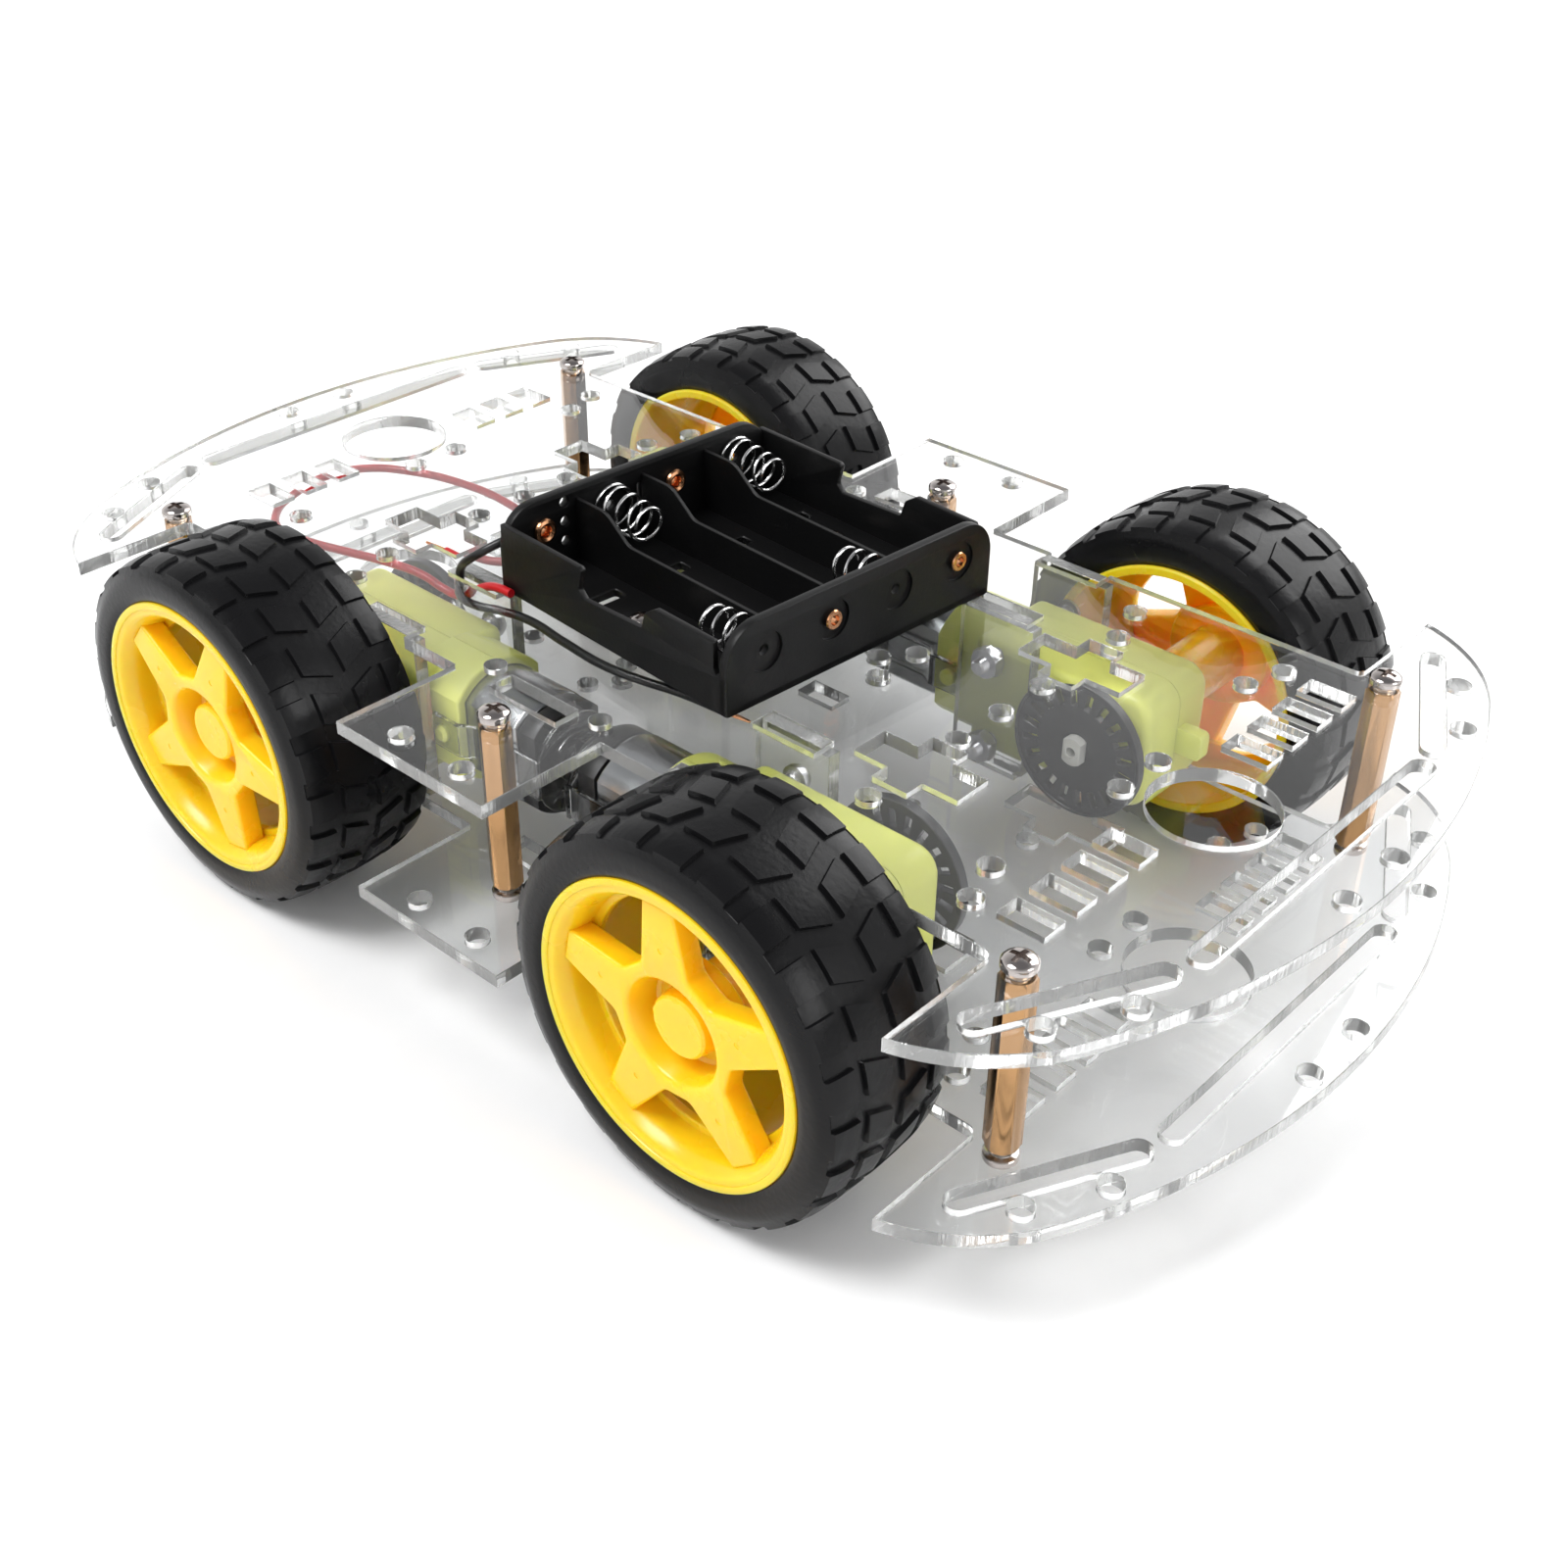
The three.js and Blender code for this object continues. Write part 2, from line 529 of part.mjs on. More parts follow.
function corner(name, sx, sy) {
  const group = new THREE.Group();
  group.add(
    caseHalf("gearbox_case_" + name, true),
    caseHalf("gearbox_cover_" + name, false),
    motorCan("motor_can_" + name),
    motorEndCap("motor_end_cap_" + name),
    motorRotor("motor_rotor_" + name),
    crownGear("crown_gear_" + name),
    outputShaft("output_shaft_" + name),
    encoderDisc("encoder_disc_" + name),
    wheelRim("wheel_rim_" + name),
    tyre("tyre_" + name),
    bracket("inner_bracket_" + name, CASE_INNER_Y - 0.2 - BRACKET_THICK),
    bracket("outer_bracket_" + name, CASE_OUTER_Y + 0.2),
  );
  group.position.z = AXLE_Z;
  group.scale.set(sx, sy, 1);
  return group;
}

// ---- battery holder, in its own frame: cells along X, bottom at z = 0 -----------------------------
// One end wall, with its two top corners rounded.
function holderEndWall(side) {
  const half = HOLDER_WIDTH / 2;
  const [across, up] = [half - HOLDER_ROUND, HOLDER_HEIGHT - HOLDER_ROUND];
  const shape = polygon([
    [-half, 0], [half, 0],
    ...arcPoints([across, up], HOLDER_ROUND, 0, Math.PI / 2, 4),
    ...arcPoints([-across, up], HOLDER_ROUND, Math.PI / 2, Math.PI, 4),
  ]);
  const outer = (side * HOLDER_LENGTH) / 2;
  const inner = outer - side * HOLDER_END_WALL;
  return alongX(shape, Math.min(outer, inner), Math.max(outer, inner));
}

// A wall along the cells, low in the middle, that starts and ends just inside the end walls.
function holderRib(y, thick, { rearHeight, frontHeight, middleHeight, endLength, slope }) {
  const half = HOLDER_LENGTH / 2 - HOLDER_END_WALL + 0.1;
  const high = half - endLength;
  const shape = polygon([
    [-half, 0], [half, 0], [half, frontHeight], [high, frontHeight], [high - slope, middleHeight],
    [slope - high, middleHeight], [-high, rearHeight], [-half, rearHeight],
  ]);
  return alongY(shape, y - thick / 2, y + thick / 2);
}

function batteryHolder() {
  const floor = polygon(rectanglePoints(0, 0, HOLDER_LENGTH, HOLDER_WIDTH));
  const sideY = (HOLDER_WIDTH - HOLDER_SIDE_WALL) / 2;
  const ribs = [-1, 0, 1].map((i) => holderRib(i * CELL_PITCH, HOLDER_RIB, HOLDER_RIB_SHAPE));
  const sides = [-1, 1].map((side) => holderRib(side * sideY, HOLDER_SIDE_WALL, HOLDER_SIDE_SHAPE));
  const solid = joined(
    alongZ(floor, 0, HOLDER_FLOOR), holderEndWall(1), holderEndWall(-1), ...ribs, ...sides,
  );
  const made = mesh("battery_holder", solid, BLACK_PLASTIC);
  made.position.set(HOLDER_CENTRE[0], HOLDER_CENTRE[1], UPPER_DECK_TOP + 0.1);
  made.rotation.z = HOLDER_TURN;
  return made;
}

// ---- leads --------------------------------------------------------------------------------------
function lead(name, route, steps, meshMaterial) {
  const path = new THREE.CatmullRomCurve3(route.map((point) => new THREE.Vector3(...point)));
  const section = polygon(circlePoints(0, 0, LEAD_RADIUS, LEAD_SIDES));
  const tube = new THREE.ExtrudeGeometry(section, { steps, extrudePath: path });
  return mesh(name, tube, meshMaterial);
}

// ---- assembly -----------------------------------------------------------------------------------
const chassis = new THREE.Group();
chassis.add(deck("lower_deck", LOWER_DECK_Z), deck("upper_deck", UPPER_DECK_Z));
STANDOFFS.forEach(([name, x, y]) => chassis.add(standoff(name, x, y)));
chassis.add(
  corner("front_left", 1, 1),
  corner("front_right", 1, -1),
  corner("rear_left", -1, 1),
  corner("rear_right", -1, -1),
  batteryHolder(),
  lead("red_lead", RED_LEAD_ROUTE, 52, RED_SLEEVE),
  lead("black_lead", BLACK_LEAD_ROUTE, 36, BLACK_SLEEVE),
);

export default chassis;
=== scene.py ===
"""Looks of the four wheel robot chassis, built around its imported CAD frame.

Each piece is first made in millimetres: corner pieces in a corner's own frame (X to the nearer end,
Y outboard, Z up from the axle), wheels about their own axis (Z outboard), the battery holder in a
turned frame of its own, and the rest in the row's frame.
"""

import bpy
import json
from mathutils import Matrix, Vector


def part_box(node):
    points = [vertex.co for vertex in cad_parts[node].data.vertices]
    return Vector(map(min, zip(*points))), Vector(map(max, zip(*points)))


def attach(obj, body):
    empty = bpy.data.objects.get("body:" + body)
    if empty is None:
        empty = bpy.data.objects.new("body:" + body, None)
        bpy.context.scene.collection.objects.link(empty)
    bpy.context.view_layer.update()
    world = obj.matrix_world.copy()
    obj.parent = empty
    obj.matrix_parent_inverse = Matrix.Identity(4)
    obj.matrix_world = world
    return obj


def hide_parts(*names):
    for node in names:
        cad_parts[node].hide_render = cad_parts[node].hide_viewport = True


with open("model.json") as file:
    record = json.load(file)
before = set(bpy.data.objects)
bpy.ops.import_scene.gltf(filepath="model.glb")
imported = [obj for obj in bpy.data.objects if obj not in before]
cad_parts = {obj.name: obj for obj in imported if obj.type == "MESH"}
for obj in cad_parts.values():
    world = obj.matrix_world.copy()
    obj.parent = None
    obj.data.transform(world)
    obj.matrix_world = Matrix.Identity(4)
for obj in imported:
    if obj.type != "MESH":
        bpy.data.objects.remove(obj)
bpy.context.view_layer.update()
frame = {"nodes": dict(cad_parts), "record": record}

import json
import math

import bmesh
import bpy
from mathutils import Matrix, Vector

MM = 0.001
TO_METRES = Matrix.Scale(MM, 4)
XY_TO_YZ = Matrix(((0, 0, 1, 0), (1, 0, 0, 0), (0, 1, 0, 0), (0, 0, 0, 1)))
CORNERS = {
    "front_left": (1, 1), "front_right": (1, -1), "rear_left": (-1, 1), "rear_right": (-1, -1),
}


def box_mm(node):
    """A CAD node's lowest and highest corner in millimetres."""
    return [[value / MM for value in corner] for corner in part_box(node)]


JOINTS = {joint["name"]: joint for joint in frame["record"]["behaviour"]["joints"]}
AXLE_X, WHEEL_Y, AXLE_Z = (value / MM for value in JOINTS["wheel_spin_front_left"]["pos_m"])
CROWN_X, MOTOR_Y, _ = (value / MM for value in JOINTS["crown_spin_front_left"]["pos_m"])
LOWER_Z, LOWER_TOP = (corner[2] for corner in box_mm("lower_deck"))
UPPER_Z, UPPER_TOP = (corner[2] for corner in box_mm("upper_deck"))
DECK_HALF_LENGTH, TAB_HALF_WIDTH, _ = box_mm("upper_deck")[1]
TYRE_RADIUS = (box_mm("tyre_front_left")[1][0] - box_mm("tyre_front_left")[0][0]) / 2
TYRE_HALF_WIDTH = box_mm("tyre_front_left")[1][1] - WHEEL_Y
INNER_BRACKET_Y = [corner[1] for corner in box_mm("inner_bracket_front_left")]
OUTER_BRACKET_Y = [corner[1] for corner in box_mm("outer_bracket_front_left")]
BRACKET_LOW, BRACKET_HIGH = box_mm("inner_bracket_front_left")
BRACKET_X = (BRACKET_LOW[0] + BRACKET_HIGH[0]) / 2
CASE_INNER_Y = box_mm("gearbox_cover_front_left")[0][1]
CASE_OUTER_Y = box_mm("gearbox_case_front_left")[1][1]
NECK_END_X = box_mm("gearbox_cover_front_left")[0][0]
CASE_NOSE_X = box_mm("gearbox_cover_front_left")[1][0]
CASE_HALF_HEIGHT = box_mm("gearbox_case_front_left")[1][2] - AXLE_Z
CAN_REAR_X, CAN_FRONT_X = (corner[0] for corner in box_mm("motor_can_front_left"))
CAP_REAR_X, CAP_FRONT_X = (corner[0] for corner in box_mm("motor_end_cap_front_left"))
SHAFT_INNER_Y, SHAFT_OUTER_Y = (corner[1] for corner in box_mm("output_shaft_front_left"))
DISC_Y, DISC_HUB_END_Y = (corner[1] for corner in box_mm("encoder_disc_front_left"))


# ---- camera, floor and light ----
CAMERA_PLACE = (0.2116, -0.2249, 0.2200)
CAMERA_RIGHT = (0.7410, 0.6715, 0.0117)
CAMERA_FORWARD = (-0.5529, 0.6193, -0.5585)
CAMERA_LENS = 45.33


def add_camera():
    right = Vector(CAMERA_RIGHT)
    forward = Vector(CAMERA_FORWARD).normalized()
    right = (right - forward * right.dot(forward)).normalized()
    up = right.cross(forward)
    data = bpy.data.cameras.new("camera")
    data.lens = CAMERA_LENS
    data.sensor_width = 36
    data.clip_start = 0.01
    camera = bpy.data.objects.new("camera", data)
    turn = Matrix((right, up, -forward)).transposed()
    camera.matrix_world = Matrix.Translation(CAMERA_PLACE) @ turn.to_4x4()
    bpy.context.collection.objects.link(camera)
    bpy.context.scene.camera = camera


def add_light(name, place, size, power, target=(0, 0, 0.03)):
    data = bpy.data.lights.new(name, "AREA")
    data.size = size
    data.energy = power
    light = bpy.data.objects.new(name, data)
    light.location = place
    light.rotation_euler = (Vector(target) - Vector(place)).to_track_quat("-Z", "Y").to_euler()
    bpy.context.collection.objects.link(light)


def add_world():
    """A pale studio: bright round the horizon, dimmer overhead."""
    world = bpy.data.worlds.new("studio")
    world.use_nodes = True
    nodes, links = world.node_tree.nodes, world.node_tree.links
    nodes.clear()
    place = nodes.new("ShaderNodeTexCoord")
    split = nodes.new("ShaderNodeSeparateXYZ")
    ramp = nodes.new("ShaderNodeValToRGB")
    background = nodes.new("ShaderNodeBackground")
    output = nodes.new("ShaderNodeOutputWorld")
    low, high = ramp.color_ramp.elements
    low.position, low.color = 0.3, (1, 1, 1, 1)
    high.position, high.color = 0.92, (0.22, 0.22, 0.23, 1)
    links.new(place.outputs["Generated"], split.inputs[0])
    links.new(split.outputs["Z"], ramp.inputs[0])
    links.new(ramp.outputs[0], background.inputs["Color"])
    background.inputs["Strength"].default_value = 1.0
    links.new(background.outputs[0], output.inputs["Surface"])
    bpy.context.scene.world = world


def add_studio():
    add_world()
    add_light("key", (-0.4, -0.8, 1.5), 0.8, 24)
    add_light("rim", (0.2, 1.4, 1.0), 1.2, 20)
    add_light("side", (1.2, 0.2, 0.7), 0.6, 5)
    mesh = bpy.data.meshes.new("floor")
    reach = 4
    mesh.from_pydata([(-reach, -reach, 0), (reach, -reach, 0), (reach, reach, 0), (-reach, reach, 0)],
                     [], [(0, 1, 2, 3)])
    floor = bpy.data.objects.new("floor", mesh)
    floor.location.z = -0.0003
    bpy.context.collection.objects.link(floor)
    floor.data.materials.append(surface("studio_floor", (0.93, 0.93, 0.93), 0.7, mottle=0.01))
    bpy.context.scene.view_settings.view_transform = "Standard"


# ---- materials ----
def surface(name, color, roughness, grain=0.0, grain_scale=900, mottle=0.04, streak=None, **inputs):
    """A Principled material with a mottled colour, uneven gloss and a fine grain."""
    material = bpy.data.materials.new(name)
    material.use_nodes = True
    nodes, links = material.node_tree.nodes, material.node_tree.links
    shader = nodes["Principled BSDF"]
    for socket, value in inputs.items():
        shader.inputs[socket.replace("_", " ")].default_value = value
    place = nodes.new("ShaderNodeTexCoord")
    stretch = nodes.new("ShaderNodeMapping")
    stretch.inputs["Scale"].default_value = streak or (1, 1, 1)
    links.new(place.outputs["Object"], stretch.inputs[0])

    blotch = nodes.new("ShaderNodeTexNoise")
    blotch.inputs["Scale"].default_value = 70
    blotch.inputs["Detail"].default_value = 4
    links.new(stretch.outputs[0], blotch.inputs["Vector"])
    tint = nodes.new("ShaderNodeValToRGB")
    for element, position, gain in zip(tint.color_ramp.elements, (0.3, 0.7), (1 - mottle, 1 + mottle)):
        element.position = position
        element.color = (*(min(1, channel * gain) for channel in color), 1)
    links.new(blotch.outputs["Fac"], tint.inputs[0])
    links.new(tint.outputs[0], shader.inputs["Base Color"])
    gloss = nodes.new("ShaderNodeMapRange")
    gloss.inputs["To Min"].default_value = roughness * 0.85
    gloss.inputs["To Max"].default_value = roughness * 1.15
    links.new(blotch.outputs["Fac"], gloss.inputs["Value"])
    links.new(gloss.outputs[0], shader.inputs["Roughness"])

    if grain:
        fine = nodes.new("ShaderNodeTexNoise")
        fine.inputs["Scale"].default_value = grain_scale
        fine.inputs["Detail"].default_value = 3
        links.new(stretch.outputs[0], fine.inputs["Vector"])
        bump = nodes.new("ShaderNodeBump")
        bump.inputs["Strength"].default_value = grain
        bump.inputs["Distance"].default_value = 0.0002
        links.new(fine.outputs["Fac"], bump.inputs["Height"])
        links.new(bump.outputs[0], shader.inputs["Normal"])
    return material


def make_materials():
    clear = {"Transmission_Weight": 1.0, "IOR": 1.49}
    return {
        "acrylic": surface("acrylic_face", (0.965, 0.972, 0.972), 0.015, mottle=0.004, **clear),
        "acrylic_edge": surface("acrylic_cut_edge", (0.96, 0.97, 0.96), 0.07, grain=0.9,
                                grain_scale=1300, mottle=0.01, streak=(1, 1, 0.1), IOR=1.49,
                                Transmission_Weight=0.78),
        "strap": surface("clear_strap", (0.93, 0.94, 0.94), 0.08, grain=0.05, mottle=0.02, **clear),
        "brass": surface("brass", (0.47, 0.27, 0.125), 0.2, grain=0.12, grain_scale=400, mottle=0.06,
                         streak=(1, 1, 0.1), Metallic=1.0),
        "nickel": surface("nickel_plate", (0.52, 0.48, 0.46), 0.12, grain=0.04, mottle=0.05,
                          Metallic=1.0),
        "zinc": surface("zinc_plate", (0.55, 0.55, 0.57), 0.3, grain=0.08, mottle=0.08, Metallic=1.0),
        "copper": surface("copper", (0.83, 0.42, 0.22), 0.2, grain=0.05, mottle=0.1, Metallic=1.0),
        "spring": surface("spring_wire", (0.72, 0.72, 0.72), 0.16, mottle=0.05, Metallic=1.0),
        "can": surface("motor_can_steel", (0.40, 0.41, 0.42), 0.25, grain=0.1, grain_scale=500,
                       mottle=0.05, streak=(0.08, 1, 1), Metallic=1.0),
        "case": surface("gear_case_moulding", (0.80, 0.84, 0.20), 0.34, grain=0.08, mottle=0.03,
                        Subsurface_Weight=0.3, Subsurface_Radius=(1, 1, 0.4), Subsurface_Scale=0.003),
        "rim": surface("rim_moulding", (0.94, 0.56, 0.008), 0.27, grain=0.04, grain_scale=500,
                       mottle=0.02, Subsurface_Weight=0.7, Subsurface_Radius=(1, 0.35, 0.03),
                       Subsurface_Scale=0.008),
        "rubber": surface("tyre_rubber", (0.005, 0.005, 0.0055), 0.27, grain=0.2, grain_scale=900,
                          mottle=0.15, Specular_IOR_Level=0.17),
        "holder": surface("holder_moulding", (0.0035, 0.0035, 0.0037), 0.4, grain=0.14,
                          grain_scale=1300, mottle=0.1, Specular_IOR_Level=0.24),
        "cap": surface("end_cap_moulding", (0.010, 0.010, 0.010), 0.4, grain=0.08, mottle=0.1),
        "disc": surface("disc_moulding", (0.024, 0.025, 0.027), 0.33, grain=0.06, mottle=0.08),
        "nylon": surface("white_nylon", (0.66, 0.66, 0.62), 0.42, grain=0.05, mottle=0.03),
        "laminate": surface("armature_steel", (0.35, 0.35, 0.36), 0.4, grain=0.2, grain_scale=700,
                            streak=(6, 1, 1), Metallic=1.0),
        "red": surface("red_sleeve", (0.50, 0.006, 0.012), 0.3, grain=0.05, mottle=0.06),
        "black": surface("black_sleeve", (0.008, 0.008, 0.008), 0.3, grain=0.05, mottle=0.1),
    }


# ---- mesh helpers, in millimetres ----
SHARP_ANGLE = math.radians(32)


def mesh_from(owner):
    """The finished mesh of a temporary object, which is then deleted."""
    bpy.context.view_layer.update()
    graph = bpy.context.evaluated_depsgraph_get()
    mesh = bpy.data.meshes.new_from_object(owner.evaluated_get(graph))
    mesh.materials.clear()
    bpy.data.objects.remove(owner)
    return mesh


def temporary(data):
    owner = bpy.data.objects.new("temporary", data)
    bpy.context.collection.objects.link(owner)
    return owner


def welded(mesh):
    edit = bmesh.new()
    edit.from_mesh(mesh)
    bmesh.ops.remove_doubles(edit, verts=edit.verts, dist=0.002)
    bmesh.ops.recalc_face_normals(edit, faces=edit.faces)
    edit.to_mesh(mesh)
    edit.free()
    return mesh


def plate(outline, low, high, holes=(), edge=0.15, steps=0):
    """A flat plate in the XY plane from height low to high, with holes and broken edges."""
    curve = bpy.data.curves.new("outline", "CURVE")
    curve.dimensions = "2D"
    curve.fill_mode = "BOTH"
    curve.extrude = (high - low) / 2 - edge
    curve.bevel_depth = edge
    curve.bevel_resolution = steps
    curve.offset = -edge
    for points in (outline, *holes):
        spline = curve.splines.new("POLY")
        spline.points.add(len(points) - 1)
        for point, (x, y) in zip(spline.points, points):
            point.co = (x, y, 0, 1)
        spline.use_cyclic_u = True
    mesh = mesh_from(temporary(curve))
    mesh.transform(Matrix.Translation((0, 0, (low + high) / 2)))
    return welded(mesh)


def y_plate(outline, low, high, holes=(), edge=0.15, steps=0):
    """A plate whose outline is in XZ, from y = low to high."""
    mesh = plate(outline, -high, -low, holes, edge, steps)
    mesh.transform(Matrix.Rotation(math.pi / 2, 4, "X"))
    return mesh


def x_plate(outline, low, high, holes=(), edge=0.15, steps=0):
    """A plate whose outline is in YZ, from x = low to high."""
    mesh = plate(outline, low, high, holes, edge, steps)
    mesh.transform(XY_TO_YZ)
    return mesh


def arc(x, y, radius, start, end, steps):
    angles = (start + (end - start) * i / steps for i in range(steps + 1))
    return [(x + radius * math.cos(a), y + radius * math.sin(a)) for a in angles]


def circle(x, y, radius, steps=32):
    return arc(x, y, radius, 0, 2 * math.pi, steps)[:-1]


def rectangle(x, y, width, height):
    return [(x + sx * width / 2, y + sy * height / 2) for sx, sy in ((-1, -1), (1, -1), (1, 1), (-1, 1))]


def four_way(quarter):
    """A closed outline from its first quadrant, which runs from the X axis round to the Y axis."""
    upper = quarter + [(-x, y) for x, y in quarter[::-1]]
    lower = [(x, -y) for x, y in upper[::-1]]
    return list(dict.fromkeys(upper + lower))


def rounded(corners, radius, steps=5):
    """The outline through corners, each rounded by radius, which may be one for each corner."""
    radii = radius if isinstance(radius, (list, tuple)) else [radius] * len(corners)
    points = []
    for i, corner in enumerate(corners):
        here = Vector(corner)
        back = (Vector(corners[i - 1]) - here).normalized()
        on = (Vector(corners[(i + 1) % len(corners)]) - here).normalized()
        half = back.angle(on) / 2
        if radii[i] == 0 or half > math.radians(89.5):
            points.append(corner)
            continue
        centre = here + (back + on).normalized() * (radii[i] / math.sin(half))
        reach = radii[i] / math.tan(half)
        start, end = (here + side * reach - centre for side in (back, on))
        first = math.atan2(start.y, start.x)
        turn = math.remainder(math.atan2(end.y, end.x) - first, 2 * math.pi)
        points += arc(centre.x, centre.y, radii[i], first, first + turn, steps)
    return points


def slot(start, end, width, steps=8):
    """A round ended slot between two points."""
    heading = math.atan2(end[1] - start[1], end[0] - start[0])
    quarter = math.pi / 2
    return (arc(*end, width / 2, heading - quarter, heading + quarter, steps)
            + arc(*start, width / 2, heading + quarter, heading + 3 * quarter, steps))


def lathe(profile, segments=48):
    """A profile of (radius, height) turned about Z, closed on the axis or on itself."""
    rows, verts, faces = [], [], []
    for radius, height in profile:
        count = segments if radius > 1e-6 else 1
        rows.append(range(len(verts), len(verts) + count))
        verts += [
            (radius * math.cos(2 * math.pi * i / segments), radius * math.sin(2 * math.pi * i / segments),
             height) for i in range(count)
        ]
    pairs = list(zip(rows, rows[1:]))
    if len(rows[0]) > 1:
        pairs.append((rows[-1], rows[0]))
    for low, high in pairs:
        for i in range(segments):
            j = (i + 1) % segments
            face = [low[i % len(low)], low[j % len(low)], high[j % len(high)], high[i % len(high)]]
            faces.append(list(dict.fromkeys(face)))
    mesh = bpy.data.meshes.new("turned")
    mesh.from_pydata(verts, [], faces)
    return welded(mesh)


def wire(points, radius, sides=5):
    """A round wire through points, with closed ends."""
    curve = bpy.data.curves.new("wire", "CURVE")
    curve.dimensions = "3D"
    curve.bevel_depth = radius
    curve.bevel_resolution = sides
    curve.use_fill_caps = True
    spline = curve.splines.new("POLY")
    spline.points.add(len(points) - 1)
    for point, place in zip(spline.points, points):
        point.co = (*place, 1)
    return welded(mesh_from(temporary(curve)))


def merged(meshes):
    """One mesh holding all the shells."""
    edit = bmesh.new()
    for mesh in meshes:
        edit.from_mesh(mesh)
    joined = bpy.data.meshes.new("merged")
    edit.to_mesh(joined)
    edit.free()
    return joined


def boolean(mesh, others, operation):
    """mesh joined with, cut by or kept inside each of the other meshes."""
    owner = temporary(mesh)
    tools = [temporary(other) for other in others]
    for tool in tools:
        modifier = owner.modifiers.new("boolean", "BOOLEAN")
        modifier.operation = operation
        modifier.solver = "EXACT"
        modifier.object = tool
    made = mesh_from(owner)
    for tool in tools:
        bpy.data.objects.remove(tool)
    return made


def moved(mesh, x=0, y=0, z=0):
    mesh.transform(Matrix.Translation((x, y, z)))
    return mesh


def piece(name, mesh, matrix, body, material, slot_name, *nodes):
    """Places a mesh in the row's frame as a named piece that rides on a body."""
    data = mesh.copy()
    data.name = name
    data.transform(TO_METRES @ matrix)
    if matrix.determinant() < 0:
        data.flip_normals()
    data.shade_smooth()
    data.set_sharp_from_angle(angle=SHARP_ANGLE)
    data.materials.append(material)
    made = bpy.data.objects.new(name, data)
    bpy.context.collection.objects.link(made)
    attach(made, body)
    if nodes:
        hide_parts(*nodes)
    return made


def corner_matrix(corner):
    """From a corner's own frame to the row's frame."""
    sx, sy = CORNERS[corner]
    return Matrix.Translation((0, 0, AXLE_Z)) @ Matrix.Diagonal((sx, sy, 1, 1))


def wheel_matrix(corner):
    """From a wheel's own frame, Z outboard, to the row's frame. All four wheels are the same part."""
    sx, sy = CORNERS[corner]
    place = Matrix.Translation((AXLE_X * sx, WHEEL_Y * sy, AXLE_Z))
    facing = Matrix.Rotation(math.pi / 2, 4, "X")
    return place @ (Matrix.Rotation(math.pi, 4, "Z") if sy > 0 else Matrix.Identity(4)) @ facing


# ---- leads ----
LEAD_DIAMETER = 1.6
RED_LEAD_ROUTE = [
    (-27.6, -29.4, 54.1), (-31.2, -29.3, 53.9), (-34.8, -29.2, 52.7), (-37.6, -29.2, 50.7),
    (-39.4, -29.2, 48.2), (-42.6, -29.3, 46.6), (-46.4, -29.7, 46.8), (-50.6, -30.5, 48.1),
    (-58.6, -32.2, 48.6),
    (-67.5, -34.8, 48.6), (-76.0, -37.2, 48.6), (-84.0, -38.0, 48.6), (-91.0, -33.6, 48.6),
    (-95.0, -26.2, 48.6), (-96.8, -17.6, 48.6), (-94.2, -10.2, 48.6), (-86.6, -4.8, 48.6),
    (-73.0, -1.0, 48.6), (-60.6, -1.0, 48.6), (-50.0, -3.6, 48.6), (-43.4, -8.8, 48.6),
    (-41.4, -14.4, 48.6), (-44.6, -18.4, 48.6), (-51.0, -20.0, 48.6), (-57.0, -20.2, 48.6),
]
BLACK_LEAD_ROUTE = [
    (-32.2, -19.4, 61.0), (-33.2, -23.4, 61.0), (-34.4, -26.6, 60.2), (-36.4, -28.8, 58.6),
    (-38.8, -29.6, 56.7), (-40.8, -29.3, 54.9), (-41.8, -29.15, 53.1), (-42.0, -29.15, 51.3),
    (-41.6, -29.6, 49.6), (-39.8, -31.2, 48.7), (-35.4, -31.8, 48.5), (-30.0, -30.0, 48.5),
    (-24.4, -28.9, 48.5), (-13.6, -29.9, 48.5), (-2.8, -30.6, 48.5), (5.0, -29.6, 48.5),
    (12.6, -28.0, 48.5), (21.6, -27.2, 48.5),
]


def add_lead(name, route, material, materials):
    """One lead as a smooth curve through its route, with a stripped strand at its end."""
    points = [Vector(point) * MM for point in route]
    curve = bpy.data.curves.new(name, "CURVE")
    curve.dimensions = "3D"
    curve.bevel_depth = LEAD_DIAMETER / 2 * MM
    curve.bevel_resolution = 4
    curve.use_fill_caps = True
    spline = curve.splines.new("BEZIER")
    spline.bezier_points.add(len(points) - 1)
    for knot, place in zip(spline.bezier_points, points):
        knot.co = place
        knot.handle_left_type = knot.handle_right_type = "AUTO"
    curve.materials.append(material)
    lead = bpy.data.objects.new(name + "_sleeve", curve)
    bpy.context.collection.objects.link(lead)
    bpy.context.view_layer.update()
    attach(lead, "chassis")
    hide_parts(name)

    end, heading = Vector(route[-1]), (Vector(route[-1]) - Vector(route[-2])).normalized()
    strands = []
    for i in range(5):
        turn = 2 * math.pi * i / 5
        spread = Vector((0.06, 0.3 * math.cos(turn), 0.3 * math.sin(turn)))
        strands.append(wire([end - heading + spread, end + heading * 2.5 + spread * 0.9,
                             end + heading * 5.5 + spread * 0.3], 0.16, 2))
    tip = piece(name + "_bare_end", merged(strands), Matrix.Identity(4), "chassis",
                materials["copper"], "brass")


# ---- decks ----
BODY_HALF_WIDTH = 50.7
TAB_HALF_LENGTH = 17.5
WING_X = 94.2
WING_CORNER_RADIUS = 1.5
BUMPER_RADIUS = 131.6
BUMPER_SWEEP = math.radians(25.7)
CORNER_RADIUS = 32.5
BRACKET_SLOT_LENGTH = 13
BRACKET_NOTCH_DEPTH = 4.6


